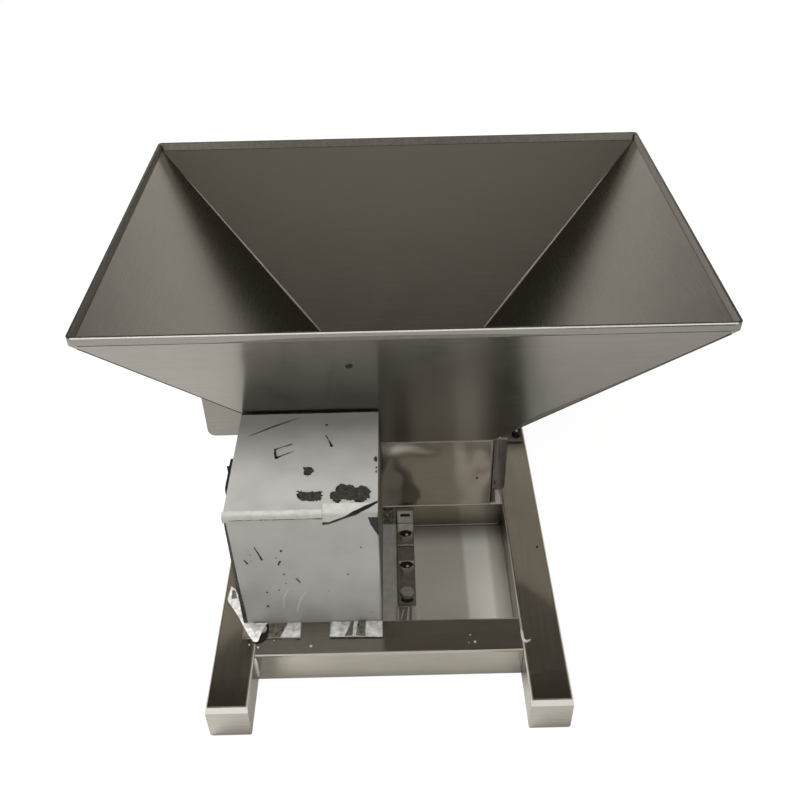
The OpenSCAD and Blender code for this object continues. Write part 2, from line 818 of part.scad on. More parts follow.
module cutter_discs() {
    at_roller() color("gainsboro")
        for (i = [0 : disc_count - 1])
            translate([0, 0, (i - (disc_count - 1) / 2) * disc_pitch])
                toothed_disc(i * 360 / tooth_count / 3);
}

// Spacers between the discs, with end rings and collars that reach the bearings
module spacer_rings() {
    at_roller() color("silver") {
        for (i = [1 : disc_count - 1])
            translate([0, 0, (i - disc_count / 2) * disc_pitch - disc_gap / 2])
                ring(shaft_r + seat_gap, spacer_r, disc_gap);
        both_ends() {
            translate([0, 0, stack_w / 2]) ring(shaft_r + seat_gap, spacer_r, (drum_w - stack_w) / 2);
            translate([0, 0, drum_w / 2]) ring(shaft_r + seat_gap, bearing_in_r, bearing_x - drum_w / 2);
        }
    }
}

// Half width of the groove at radius r, for a belt of outer radius out
function groove(r, out) = belt_in_w / 2 + (r - out + belt_t) * tan(belt_angle) + belt_gap;
// Grooved pulley about Z, with a hub of length hub_l above its rim
module pulley(out, bore, hub_r, hub_l) {
    floor_r = out - belt_t - groove_floor;
    rotate_extrude()
        polygon([[bore, -pulley_w / 2], [bore, pulley_w / 2 + hub_l], [hub_r, pulley_w / 2 + hub_l],
                 [hub_r, pulley_w / 2], [out, pulley_w / 2], [out, groove(out, out)],
                 [floor_r, groove(floor_r, out)], [floor_r, -groove(floor_r, out)],
                 [out, -groove(out, out)], [out, -pulley_w / 2]]);
}

roller_hub_l = belt_off - pulley_w / 2 - (bearing_x + bearing_w - end_x - end_t);
module roller_pulley() {
    at_roller() color(DARK)
        translate([0, 0, -end_x - end_t - belt_off])
            pulley(belt_r2, shaft_r + seat_gap, shaft_r + hub_wall, roller_hub_l);
}

module roller_nut() {
    at_roller() color("silver")
        translate([0, 0, -shaft_left])
            difference() {
                cylinder(r = shaft_r + nut_wall, h = nut_l, $fn = 6);
                translate([0, 0, -eps]) cylinder(r = shaft_r + seat_gap, h = nut_l + 2 * eps);
            }
}

// Block of the cover's outline, drawn in by inset: upright corners and the top's bends are round
module cover_block(inset, drop, r) {
    w = cover_w - 2 * inset;
    d = cover_d - 2 * inset;
    h = cover_h - tube - inset + drop;
    translate([cover_x0 + inset, cover_y0 + inset, tube - drop])
        intersection() {
            linear_extrude(h) rounded_rect(w, d, r);
            along_x() linear_extrude(w) translate([0, -r]) rounded_rect(d, h + r, r);
        }
}

// Folded cover over the motor: open below, two front tabs on the cross tube, a belt slot behind
module drive_cover() {
    slot_w = belt_w + 2 * slot_side;
    slot_top = roller_z + belt_r2 + slot_over;
    body_l = switch_l - 2 * bezel_lap + 2 * cutout_gap;
    body_h = switch_h - 2 * bezel_lap + 2 * cutout_gap;
    placed() color("gainsboro") {
        difference() {
            cover_block(0, 0, cover_r);
            cover_block(cover_t, eps, cover_r - cover_t);
            translate([belt_x - slot_w / 2, cover_y1 - 2 * cover_t, tube - eps])
                cube([slot_w, 3 * cover_t, slot_top - tube]);
            translate([cover_x0 - cover_t, gland_y, gland_z]) along_x()
                cylinder(r = gland_r + cutout_gap, h = 3 * cover_t);
            translate(switch_place + [-cover_t, -body_l / 2, -body_h / 2])
                cube([3 * cover_t, body_l, body_h]);
        }
        difference() {
            translate([cover_x0 + cover_r, front_tube_back - flange_d, tube])
                cube([cover_w - 2 * cover_r, flange_d - cover_t / 2, cover_t]);
            translate([cover_x0 + flange_gap_x, front_tube_back - flange_d - eps, tube - eps])
                cube([flange_gap_w, flange_d - cover_t, cover_t + 2 * eps]);
            for (x = screw_xs)
                translate([x, screw_y, tube - eps]) cylinder(r = screw_r + bolt_gap, h = cover_t + 2 * eps);
        }
    }
}

module cover_screws() {
    placed() color("silver")
        for (x = screw_xs)
            translate([x, screw_y, tube]) {
                cylinder(r = screw_r, h = cover_t + eps);
                translate([0, 0, cover_t]) cylinder(r = screw_head_r, h = screw_head_h);
            }
}

// Cable inlet in the cover's left side: hexagon body, tapered cap and inner nut, with an open bore
module cable_gland() {
    inside = cover_t + gland_hex_t;
    outside = gland_hex_t + gland_cap_l;
    placed() color(BLACK)
        translate([cover_x0, gland_y, gland_z]) rotate([0, -90, 0])
            difference() {
                union() {
                    cylinder(r = gland_hex, h = gland_hex_t, $fn = 6);
                    translate([0, 0, gland_hex_t - eps])
                        cylinder(r1 = gland_cap_r, r2 = gland_tip_r, h = gland_cap_l);
                    translate([0, 0, -inside]) cylinder(r = gland_r, h = inside + eps);
                    translate([0, 0, -inside]) cylinder(r = gland_hex, h = gland_hex_t, $fn = 6);
                }
                translate([0, 0, -inside - eps]) cylinder(r = gland_bore, h = inside + outside + 2 * eps);
            }
}

// Folded guard on the left rail: outer side, top and back round the roller pulley
module belt_guard() {
    guard_y = cover_y1 + guard_gap;
    guard_l = roller_y + belt_r2 + guard_behind - guard_y;
    guard_h = roller_z + belt_r2 + guard_over - tube;
    placed() color(STEEL)
        translate([cover_x0 + guard_in, guard_y, tube])
            difference() {
                cube([guard_w, guard_l, guard_h]);
                translate([cover_t, -eps, -eps])
                    cube([guard_w, guard_l - cover_t + eps, guard_h - cover_t + eps]);
            }
}

module hole_down(place, r) translate(place) cylinder(r = r + bolt_gap, h = 2 * tube, center = true);

// Motor base plate on the pan
module motor_base_plate() {
    placed() color(STEEL)
        difference() {
            translate([plate_x0, plate_y0, plate_z])
                cube([plate_x1 - plate_x0, plate_y1 - plate_y0, plate_t]);
            for (y = lug_bolt_ys) hole_down([lug_bolt_x, y, plate_z], m8_r);
            for (y = left_bolt_ys) hole_down([base_left_x, y, plate_z], m8_r);
            for (x = [-1, 1], y = [-1, 1])
                hole_down([motor_mid_x + x * motor_foot_x, motor_y + y * motor_foot_y, plate_z], m6_r);
        }
}

// Two foot lugs, end to end; the rear one turns up against the middle cross tube
module foot_lugs() {
    placed() color(STEEL)
        difference() {
            union() {
                translate([lug_x, lug_y0, plate_top])
                    cube([lug_w, lug_split - lug_seam - lug_y0, lug_t]);
                translate([lug_x, lug_split, plate_top]) cube([lug_w, lug_rear_l, lug_t]);
                translate([lug_x, mid_tube_y - tab_t, plate_top]) cube([lug_w, tab_t, lug_t + tab_h]);
            }
            for (y = lug_bolt_ys) hole_down([lug_bolt_x, y, plate_top], m8_r);
            translate([lug_bolt_x, mid_tube_y - tab_t / 2, lug_top + tab_slot_z])
                cube([tab_slot_w, 2 * tab_t, tab_slot_h], center = true);
        }
}

module base_plate_bolts() {
    placed() color("silver") {
        for (y = lug_bolt_ys)
            translate([lug_bolt_x, y, lug_top]) hex_bolt(m8_r, m8_head_r, m8_head_h, lug_t + plate_t);
        for (y = left_bolt_ys)
            translate([base_left_x, y, plate_top]) hex_bolt(m8_r, m8_head_r, m8_head_h, plate_t);
    }
}

module at_motor(x) placed() translate([x, motor_y, motor_z]) along_x() children();

// Finned housing with two cast feet
module motor_housing() {
    foot_in = motor_r / 2;
    web_y = motor_r - web_in;
    placed() color("slategray") difference() {
        translate([motor_x0 + bell_l, motor_y, motor_z]) union() {
            along_x() cylinder(r = motor_r, h = motor_l);
            for (i = [0 : fin_count - 1])
                rotate([i * 360 / fin_count, 0, 0])
                    translate([0, motor_r - fin_h, -fin_t / 2]) cube([motor_l, 2 * fin_h, fin_t]);
            for (side = [-1, 1]) {
                translate([0, side > 0 ? foot_in : -foot_y, plate_top - motor_z])
                    cube([motor_l, foot_y - foot_in, foot_t]);
                translate([0, side * web_y - web_t / 2, plate_top - motor_z])
                    cube([motor_l, web_t, motor_z - plate_top - web_y]);
            }
        }
        at_motor_bore();
        for (x = [-1, 1], y = [-1, 1])
            translate([motor_mid_x + x * motor_foot_x, motor_y + y * motor_foot_y, plate_top - eps])
                cylinder(r = m6_r + bolt_gap, h = foot_t + 2 * eps);
    }
}

module at_motor_bore() {
    translate([motor_x0 - eps, motor_y, motor_z]) along_x()
        cylinder(r = motor_shaft_r + run_gap, h = motor_x1 - motor_x0 + 2 * eps);
}

// Sloped end bell about Z with a ring of blind vents, its open side at Z = 0
module end_bell() {
    bore = motor_shaft_r + run_gap;
    difference() {
        rotate_extrude()
            polygon([[bore, 0], [motor_r, 0], [motor_r, bell_rim], [motor_r - bell_slope, bell_l],
                     [bore, bell_l]]);
        for (i = [0 : vent_count - 1])
            rotate((i + 0.5) * 360 / vent_count) translate([vent_ring, 0, bell_l - vent_d])
                cylinder(r = vent_r, h = bell_l);
    }
}

module motor_left_bell() at_motor(motor_x0 + bell_l) color("slategray") mirror([0, 0, 1]) end_bell();

module motor_right_bell() at_motor(motor_x1 - bell_l) color("slategray") end_bell();

module motor_bolts() {
    placed() color("silver")
        for (x = [-1, 1], y = [-1, 1])
            translate([motor_mid_x + x * motor_foot_x, motor_y + y * motor_foot_y, plate_top + foot_t])
                hex_bolt(m6_r, m6_head_r, m6_head_h, foot_t + plate_t);
}

module motor_shaft() {
    shaft_end = belt_x - pulley_w / 2 - shaft_over;
    at_motor(shaft_end) color("silver")
        cylinder(r = motor_shaft_r, h = motor_x1 - shaft_in - shaft_end);
}

module motor_pulley() {
    at_motor(belt_x) color(DARK)
        pulley(belt_r1, motor_shaft_r + seat_gap, motor_shaft_r + hub_wall, motor_hub_l);
}

// V-belt: one trapezoid section led round both pulleys
belt_dy = roller_y - motor_y;
belt_dz = roller_z - motor_z;
belt_c = sqrt(belt_dy * belt_dy + belt_dz * belt_dz);
wrap = 90 + asin((belt_r2 - belt_r1) / belt_c);
wrap_steps = 24;
// Stations round the loop: the wrap's centre, its outer radius and the angle
belt_loop = concat(
    [for (i = [0 : wrap_steps]) [0, belt_r1, wrap + i * (360 - 2 * wrap) / wrap_steps]],
    [for (i = [0 : wrap_steps]) [belt_c, belt_r2, -wrap + i * 2 * wrap / wrap_steps]]);
// Corners of the section: distance inside the outer face, and place across the belt
belt_corners = [[belt_t, -belt_in_w / 2], [0, -belt_w / 2], [0, belt_w / 2], [belt_t, belt_in_w / 2]];

module drive_belt() {
    stations = len(belt_loop);
    at_motor(belt_x) color(BLACK) rotate(atan2(belt_dz, belt_dy))
        polyhedron(
            points = [for (s = belt_loop, c = belt_corners)
                [s[0] + (s[1] - c[0]) * cos(s[2]), (s[1] - c[0]) * sin(s[2]), c[1]]],
            faces = [for (i = [0 : stations - 1], k = [0 : 3])
                let (j = (i + 1) % stations, l = (k + 1) % 4)
                [4 * i + l, 4 * j + l, 4 * j + k, 4 * i + k]]);
}

// Rocker switch in the cover's left side: bezel, body and pocket
module switch_body() {
    pocket_l = 2 * (rocker_half + rocker_end);
    pocket_h = rocker_h + 2 * rocker_gap;
    placed() color(BLACK) translate(switch_place) difference() {
        union() {
            translate([0, -switch_l / 2, -switch_h / 2]) rotate([0, -90, 0])
                linear_extrude(bezel_t) rounded_rect(switch_h, switch_l, bezel_r);
            translate([-eps, bezel_lap - switch_l / 2, bezel_lap - switch_h / 2])
                cube([switch_deep, switch_l - 2 * bezel_lap, switch_h - 2 * bezel_lap]);
        }
        translate([-bezel_t - eps, -pocket_l / 2, -pocket_h / 2])
            cube([bezel_t + pocket_deep, pocket_l, pocket_h]);
        cylinder(r = pin_r + run_gap, h = pocket_h + 2 * pin_out + 2 * run_gap, center = true);
    }
}

// Rocker with a shallow valley across its middle, on a pivot pin; at rest its rear half is out
module switch_rocker() {
    placed() color(BLACK) translate(switch_place) rotate(rocker_tilt) {
        linear_extrude(rocker_h, center = true)
            polygon([[0, -rocker_half], [-rocker_out, -rocker_half], [-rocker_mid, 0],
                     [-rocker_out, rocker_half], [0, rocker_half], [rocker_back, 0]]);
        cylinder(r = pin_r, h = rocker_h + 2 * rocker_gap + 2 * pin_out, center = true);
    }
}

left_rail();
right_rail();
front_cross_tube();
middle_cross_tube();
rear_cross_tube();
rail_end_caps();
motor_pan();
hopper_front_wall();
hopper_right_wall();
hopper_back_wall();
hopper_left_wall();
hopper_rim();
hopper_bracket();
chamber_front_wall();
chamber_rear_wall();
left_end_plate();
right_end_plate();
left_plate_bracket();
right_plate_bracket();
bracket_bolts();
front_comb();
rear_comb();
crumb_grate();
left_bearing_housing();
right_bearing_housing();
housing_bolts();
bearing_outer_rings();
bearing_inner_rings();
roller_shaft();
cutter_discs();
spacer_rings();
roller_pulley();
roller_nut();
drive_cover();
cover_screws();
cable_gland();
belt_guard();
motor_base_plate();
foot_lugs();
base_plate_bolts();
motor_housing();
motor_left_bell();
motor_right_bell();
motor_bolts();
motor_shaft();
motor_pulley();
drive_belt();
switch_body();
switch_rocker();
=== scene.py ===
"""Looks of a bench bread crumb machine: finishes, films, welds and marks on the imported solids."""
import math

import bmesh
import bpy
from mathutils import Matrix, Vector, noise


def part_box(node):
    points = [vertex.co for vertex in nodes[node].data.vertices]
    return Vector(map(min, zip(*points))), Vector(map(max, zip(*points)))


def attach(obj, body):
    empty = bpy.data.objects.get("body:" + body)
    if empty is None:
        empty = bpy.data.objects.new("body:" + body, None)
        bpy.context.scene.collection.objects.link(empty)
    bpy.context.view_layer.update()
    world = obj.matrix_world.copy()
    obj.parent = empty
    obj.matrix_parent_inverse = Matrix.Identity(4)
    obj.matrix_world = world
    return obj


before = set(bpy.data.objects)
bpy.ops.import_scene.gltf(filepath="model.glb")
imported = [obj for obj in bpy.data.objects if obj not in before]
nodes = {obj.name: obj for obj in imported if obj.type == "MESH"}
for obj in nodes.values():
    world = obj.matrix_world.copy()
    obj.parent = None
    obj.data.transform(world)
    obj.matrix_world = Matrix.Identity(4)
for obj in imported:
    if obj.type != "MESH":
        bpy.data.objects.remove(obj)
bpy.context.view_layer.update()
MM = 0.001


# Camera

CAMERA_PLACE = Vector((-6.5, -804.7, 783.3)) * MM
CAMERA_LENS = 40.41
CAMERA_SENSOR = 36
CAMERA_PITCH = math.radians(38.66)
CAMERA_YAW = math.radians(0.09)
CAMERA_ROLL = math.radians(-1.29)


def make_camera():
    """A camera that looks down on the machine's front, as the photograph does."""
    data = bpy.data.cameras.new("camera")
    data.lens = CAMERA_LENS
    data.sensor_width = CAMERA_SENSOR
    data.clip_start = 10 * MM
    camera = bpy.data.objects.new("camera", data)
    bpy.context.scene.collection.objects.link(camera)
    tilt = Matrix.Rotation(math.pi / 2 - CAMERA_PITCH, 4, "X")
    turn = Matrix.Rotation(-CAMERA_YAW, 4, "Z")
    roll = Matrix.Rotation(CAMERA_ROLL, 4, "Z")
    camera.matrix_world = Matrix.Translation(CAMERA_PLACE) @ turn @ tilt @ roll
    bpy.context.scene.camera = camera


make_camera()


# Tools for materials

def linear(hex_colour):
    """Linear RGBA of an sRGB hex colour such as "#b2aea6"."""
    parts = [int(hex_colour[i:i + 2], 16) / 255 for i in (1, 3, 5)]
    return [c / 12.92 if c <= 0.04045 else ((c + 0.055) / 1.055) ** 2.4 for c in parts] + [1.0]


def add(tree, kind, sockets=None, **settings):
    """Adds a node: settings are its properties, sockets its inputs, as values or as sockets to link."""
    node = tree.nodes.new(kind)
    for name, value in settings.items():
        setattr(node, name, value)
    for name, value in (sockets or {}).items():
        socket = node.inputs[name]
        if isinstance(value, bpy.types.NodeSocket):
            tree.links.new(value, socket)
        else:
            socket.default_value = value
    return node


def new_material(name):
    """An empty material: its node tree and its surface socket."""
    material = bpy.data.materials.new(name)
    material.use_nodes = True
    tree = material.node_tree
    tree.nodes.clear()
    output = add(tree, "ShaderNodeOutputMaterial")
    return material, tree, output.inputs["Surface"]


# Materials

X_AXIS, Y_AXIS = 0, 1
BRUSH_WIDTH = 0.35 * MM
BRUSH_LENGTH = 45 * MM
BRUSH_DEPTH = 0.05 * MM
SMEAR = 60 * MM
SMEAR_SHARE = 0.3
WAVE = 55 * MM
MOTTLE_DEPTH = 0.1 * MM
# How far a gloss strays below and above a finish's own roughness.
BRUSH_GLOSS = (-0.03, 0.05)
MOTTLE_GLOSS = (-0.06, 0.08)
# The stretch of a noise's values that is spread over the whole range of a colour or a gloss.
BRUSH_SPREAD = {"From Min": 0.36, "From Max": 0.64}
MOTTLE_SPREAD = {"From Min": 0.3, "From Max": 0.7}
# How far a face looks up, from 0 to 1, where it counts as an edge that gets the painted highlight, and where
# as a level top.
EDGE_FACING = {"From Min": 0.35, "From Max": 0.55}
TOP_FACING = {"From Min": 0.84, "From Max": 0.95}
# A direction that is a little off every axis, so that no face lies square to the brushing.
OFF_AXIS = (0.02, 0.03, 0.01)


def brushed_steel(name, dark, light, rough, along, edge_highlight=None, swell=0.0):
    """Brushed stainless steel: parallel lines along one axis, which smear what it mirrors across them, and
    soft cloudy smears from handling. Real lines are about 0.1 mm apart; these are drawn coarser, to show.
    The paler colour given for edges is a painted highlight on faces that turn partly up, and also stands for
    ground and polished edges. Swell is the height in mm of slow waves in a thin sheet, which bend what it
    mirrors."""
    material, tree, surface = new_material(name)
    place = add(tree, "ShaderNodeTexCoord").outputs["Object"]
    face = add(tree, "ShaderNodeNewGeometry").outputs["Normal"]
    scale = [1 / BRUSH_WIDTH] * 3
    scale[along] = 1 / BRUSH_LENGTH
    stretched = add(tree, "ShaderNodeMapping", {"Vector": place, "Scale": scale}).outputs["Vector"]
    lines = add(tree, "ShaderNodeTexNoise", {
        "Vector": stretched, "Scale": 1.0, "Detail": 3.0}).outputs["Fac"]
    smears = add(tree, "ShaderNodeTexNoise", {
        "Vector": place, "Scale": 1 / SMEAR, "Detail": 3.0}).outputs["Fac"]
    both = add(tree, "ShaderNodeMix", {"Factor": SMEAR_SHARE, "A": lines, "B": smears}).outputs["Result"]
    share = add(tree, "ShaderNodeMapRange", {"Value": both, **BRUSH_SPREAD}).outputs["Result"]
    gloss = add(tree, "ShaderNodeMapRange", {
        "Value": both, **BRUSH_SPREAD,
        "To Min": rough + BRUSH_GLOSS[0], "To Max": rough + BRUSH_GLOSS[1]}).outputs["Result"]
    axis = list(OFF_AXIS)
    axis[along] = 1.0
    across = add(tree, "ShaderNodeVectorMath", {0: face, 1: axis}, operation="CROSS_PRODUCT")
    bump = add(tree, "ShaderNodeBump", {"Height": lines, "Strength": 0.12, "Distance": BRUSH_DEPTH})
    if swell:
        waves = add(tree, "ShaderNodeTexNoise", {
            "Vector": place, "Scale": 1 / WAVE, "Detail": 1.0}).outputs["Fac"]
        bent = add(tree, "ShaderNodeBump", {"Height": waves, "Strength": 1.0, "Distance": swell * MM})
        tree.links.new(bent.outputs["Normal"], bump.inputs["Normal"])
    shader = add(tree, "ShaderNodeBsdfPrincipled", {
        "Base Color": add(tree, "ShaderNodeMixRGB", {
            "Fac": share, "Color1": linear(dark), "Color2": linear(light)}).outputs["Color"],
        "Metallic": 1.0,
        "Roughness": gloss,
        "Anisotropic": 0.6,
        "Tangent": across.outputs["Vector"],
        "Normal": bump.outputs["Normal"],
    })
    # Painted highlight: the paler edge colour where the face turns partly up.
    if edge_highlight:
        up = add(tree, "ShaderNodeSeparateXYZ", {"Vector": face}).outputs["Z"]
        rise = add(tree, "ShaderNodeMapRange", {"Value": up, **EDGE_FACING}).outputs["Result"]
        level = add(tree, "ShaderNodeMapRange", {"Value": up, **TOP_FACING}).outputs["Result"]
        edge = add(tree, "ShaderNodeMath", {0: rise, 1: level}, operation="SUBTRACT").outputs[0]
        rub_and_highlight = add(tree, "ShaderNodeBsdfPrincipled", {
            "Base Color": linear(edge_highlight), "Metallic": 0.4, "Roughness": 0.42,
            "Normal": bump.outputs["Normal"]})
        shader = add(tree, "ShaderNodeMixShader", {
            "Fac": edge, 1: shader.outputs["BSDF"], 2: rub_and_highlight.outputs["BSDF"]})
    tree.links.new(shader.outputs[0], surface)
    return material


def mottled(name, dark, light, rough, mottle_mm, relief, metal=0.0):
    """A finish with no direction: a mottled colour, an uneven gloss and a slight relief."""
    material, tree, surface = new_material(name)
    place = add(tree, "ShaderNodeTexCoord").outputs["Object"]
    mottle = add(tree, "ShaderNodeTexNoise", {
        "Vector": place, "Scale": 1 / (mottle_mm * MM), "Detail": 3.0}).outputs["Fac"]
    share = add(tree, "ShaderNodeMapRange", {"Value": mottle, **MOTTLE_SPREAD}).outputs["Result"]
    gloss = add(tree, "ShaderNodeMapRange", {
        "Value": mottle, **MOTTLE_SPREAD,
        "To Min": rough + MOTTLE_GLOSS[0], "To Max": rough + MOTTLE_GLOSS[1]}).outputs["Result"]
    bump = add(tree, "ShaderNodeBump", {"Height": mottle, "Strength": relief, "Distance": MOTTLE_DEPTH})
    shader = add(tree, "ShaderNodeBsdfPrincipled", {
        "Base Color": add(tree, "ShaderNodeMixRGB", {
            "Fac": share, "Color1": linear(dark), "Color2": linear(light)}).outputs["Color"],
        "Metallic": metal,
        "Roughness": gloss,
        "Normal": bump.outputs["Normal"],
    })
    tree.links.new(shader.outputs["BSDF"], surface)
    return material


# The pan's lighter band is painted light, and its darkening towards the back is painted shade.
PAN_LIGHT_BAND = (63.3 * MM, 92.5 * MM)
PAN_LIGHT_BAND_EDGE = 2.5 * MM
PAN_BACK_SHADE = {"From Min": -105 * MM, "From Max": -71 * MM, "To Max": 0.8}


def filmed_pan():
    """Mill-finish stainless sheet with its milky film still on: pale and dull, with a lighter band of
    painted light between two lengthwise edges, and painted shade that darkens it towards the back."""
    material, tree, surface = new_material("filmed_mill_finish_pan")
    place = add(tree, "ShaderNodeTexCoord").outputs["Object"]
    across, along, _ = add(tree, "ShaderNodeSeparateXYZ", {"Vector": place}).outputs
    enter, leave = [add(tree, "ShaderNodeMapRange", {
        "Value": across, "From Min": x - PAN_LIGHT_BAND_EDGE, "From Max": x + PAN_LIGHT_BAND_EDGE}).outputs["Result"]
        for x in PAN_LIGHT_BAND]
    band = add(tree, "ShaderNodeMath", {0: enter, 1: leave}, operation="SUBTRACT").outputs[0]
    back_shade = add(tree, "ShaderNodeMapRange", {"Value": along, **PAN_BACK_SHADE},
               interpolation_type="SMOOTHSTEP").outputs["Result"]
    stretched = add(tree, "ShaderNodeMapping", {
        "Vector": place, "Scale": [1 / BRUSH_WIDTH, 1 / BRUSH_LENGTH, 1]}).outputs["Vector"]
    lines = add(tree, "ShaderNodeTexNoise", {
        "Vector": stretched, "Scale": 1.0, "Detail": 3.0}).outputs["Fac"]
    colour = add(tree, "ShaderNodeMixRGB", {
        "Fac": lines, "Color1": linear("#c6c1b5"), "Color2": linear("#d4cfc3")}).outputs["Color"]
    for share, tint in ((band, "#f2efe7"), (back_shade, "#57534a")):
        colour = add(tree, "ShaderNodeMixRGB", {
            "Fac": share, "Color1": colour, "Color2": linear(tint)}).outputs["Color"]
    bump = add(tree, "ShaderNodeBump", {"Height": lines, "Strength": 0.1, "Distance": BRUSH_DEPTH})
    shader = add(tree, "ShaderNodeBsdfPrincipled", {
        "Base Color": colour, "Metallic": 0.05, "Roughness": 0.42, "Normal": bump.outputs["Normal"]})
    tree.links.new(shader.outputs["BSDF"], surface)
    return material


finishes = {
    # Satin cross tubes: a warm grey that mirrors the room softly, with pale edges that are a painted
    # highlight where the faces turn partly up.
    "tube_x": brushed_steel("satin_stainless_cross_tube", "#a5a096", "#bab4a9", 0.19, X_AXIS, "#c9c3b8"),
    # Satin rails: the same finish along the rails, a little glossier.
    "tube_y": brushed_steel("satin_stainless_rail", "#a5a096", "#bab4a9", 0.14, Y_AXIS, "#c9c3b8"),
    # Bent brackets: duller and darker than the tube they stand on.
    "bracket": brushed_steel("satin_stainless_bracket", "#9a958b", "#aca69b", 0.22, Y_AXIS),
    # Caps of the rail ends: dull, with a bright bevel where the weld was ground, made brighter as a painted
    # highlight where the face turns partly up.
    "cap": brushed_steel("satin_stainless_cap", "#a9a49b", "#b9b4ab", 0.26, X_AXIS, "#f0ede6"),
    # Brushed sheet: a slightly warm grey with blurred mirror images.
    "sheet_x": brushed_steel("brushed_stainless_sheet", "#97938c", "#a5a19a", 0.23, X_AXIS),
    # Front sheet of the hopper: the same, a shade darker, so the pale floor shows less in it.
    "front": brushed_steel("brushed_stainless_front_sheet", "#8e8a84", "#9b9791", 0.22, X_AXIS),
    # Rim: dark where its level top mirrors the room above.
    "rim": brushed_steel("brushed_stainless_rim", "#8a8782", "#989590", 0.23, X_AXIS),
    # Gusset: the darkest of the sheets.
    "gusset": brushed_steel("satin_stainless_gusset", "#827e77", "#8e8a84", 0.24, X_AXIS),
    # Thin panel of the chamber: it buckles, so its mirror images wave.
    "panel": brushed_steel("wavy_stainless_panel", "#bdb7ac", "#ccc6bb", 0.2, X_AXIS, None, 8.0),
    # Side sheets, brushed from front to back: lighter, with images smeared across the lines.
    "sheet_y": brushed_steel("brushed_stainless_side_sheet", "#b2ada4", "#c0bbb2", 0.23, Y_AXIS),
    # Pan: pale and dull under its film, with one lighter band of painted light and painted shade towards the
    # back.
    "pan": filmed_pan(),
    # Ground blades: a bright, neutral grey with fine lines.
    "blade": brushed_steel("ground_blade_steel", "#b5b5b3", "#cfcfcc", 0.24, Y_AXIS),
    # Milky film on the cover's sheet: pale, soft and hardly mirroring.
    "film": mottled("milky_film_on_stainless", "#9c9a96", "#a9a7a3", 0.4, 38, 0.05, 0.1),
    # The same film where it is loose: lighter, with a soft sheen.
    "loose_film": mottled("loose_milky_film", "#aba9a4", "#bab8b3", 0.35, 6, 0.2),
    # Creased film: white facets beside grey ones.
    "foil": mottled("bright_creased_film", "#bcbbb8", "#f7f6f4", 0.3, 6, 0.5, 0.1),
    # Clear film: the dark steel shows through it, with a gloss; it also gives the painted shade on folds of
    # the peeled strip and of the scraps.
    "clear": mottled("clear_film_and_fold_shade", "#524e46", "#857f74", 0.3, 5, 0.3, 0.3),
    # Painted shade: nearly black, for shadows under lifted film, in gaps and slots and round the lug bolts;
    # also one dark speck on the front wall.
    "black_shade_and_speck": mottled("black_painted_shade_and_speck", "#141311", "#24221f", 0.6, 2, 0.3),
    # Glue residue: black and dull; also a painted shadow line along the cover's back edge.
    "residue_and_shadow": mottled("dark_glue_residue_and_shadow", "#151514", "#31302f", 0.8, 1.2, 0.8),
    # Thick glue: black with paler grains.
    "patch": mottled("grainy_glue_patch", "#131312", "#403f3c", 0.85, 1.6, 0.9),
    # Bare edge of a sheet: dark grey; also painted shade on the cover's bend and the rim's folds, and
    # painted dark reflection along the front wall's edges.
    "bare_and_shade": mottled("bare_steel_and_painted_shade", "#45423d", "#66625b", 0.45, 3, 0.2, 0.6),
    # Scuffed film: a pale streak with little gloss; also a grey painted shade on the peeled strip's tongue.
    "scuff_and_shade": mottled("pale_scuffed_film_and_shade", "#afada9", "#bdbbb7", 0.5, 5, 0.1),
    # Ground weld: nearly white, with a fine grain; also painted highlights on the rim's lip, the tubes, the
    # base plate, the lugs and the bolt heads.
    "weld": mottled("ground_weld_and_painted_highlight", "#d8d4cb", "#efece5", 0.34, 1.5, 0.4, 0.5),
    # Dull steel with neither film nor brushing: a flat mid grey; also painted shade on the lip, the front
    # wall and the cover's right side.
    "shaded": mottled("dull_steel_and_painted_shade", "#6f6a62", "#7d7870", 0.4, 6, 0.1, 0.6),
    # Rubbed edge: a paler grey with a soft sheen; also the painted highlight along the panel's top and right
    # edges.
    "rub_and_highlight": mottled("rubbed_steel_and_painted_highlight", "#a19b91", "#b5afa5", 0.36, 4, 0.1, 0.6),
    # Galvanised plate: pale and chalky, with broad spangles; also a painted highlight on the lugs' rear end.
    "galvanised_and_highlight": mottled("galvanised_plate_and_highlight", "#bab8ac", "#cbc9be", 0.46, 9, 0.2, 0.15),
    # Hot-rolled plate: a brownish grey scale; also painted shade on the left tab's front edge.
    "plate": mottled("hot_rolled_plate_and_shade", "#8f877d", "#a69e94", 0.42, 6, 0.3, 0.6),
    # Blackened bolts: black with a faint gloss.
    "black_bolt": mottled("blackened_steel_bolt", "#1b1a19", "#2c2a28", 0.42, 1.5, 0.2, 0.3),
    # Turned steel: bright and clean.
    "turned": mottled("turned_steel", "#a9a8a5", "#c4c3c0", 0.22, 2, 0.1, 1.0),
    # Turned aluminium: lighter and cooler than the steel.
    "aluminium": mottled("turned_aluminium", "#b4b5b6", "#cacbcc", 0.3, 3, 0.1, 1.0),
    # Painted cast iron: a black coat over a rough skin.
    "iron": mottled("cast_iron_black_paint", "#22241f", "#31332f", 0.5, 2, 0.5),
    # Motor enamel: a blue grey with a slight orange peel.
    "motor": mottled("grey_enamel_motor", "#4d565c", "#5b656c", 0.4, 4, 0.3),
    # Zinc plating: a pale, slightly warm grey.
    "zinc": mottled("zinc_plated_steel", "#b6b2a8", "#d2cec3", 0.36, 1.5, 0.2, 0.6),
    # Belt rubber: matt black.
    "rubber": mottled("belt_rubber", "#141414", "#232323", 0.75, 1.5, 0.4),
    # Moulded nylon: black with a soft gloss.
    "plastic": mottled("moulded_black_nylon", "#0d0d0e", "#1a1a1b", 0.36, 1.0, 0.2),
}
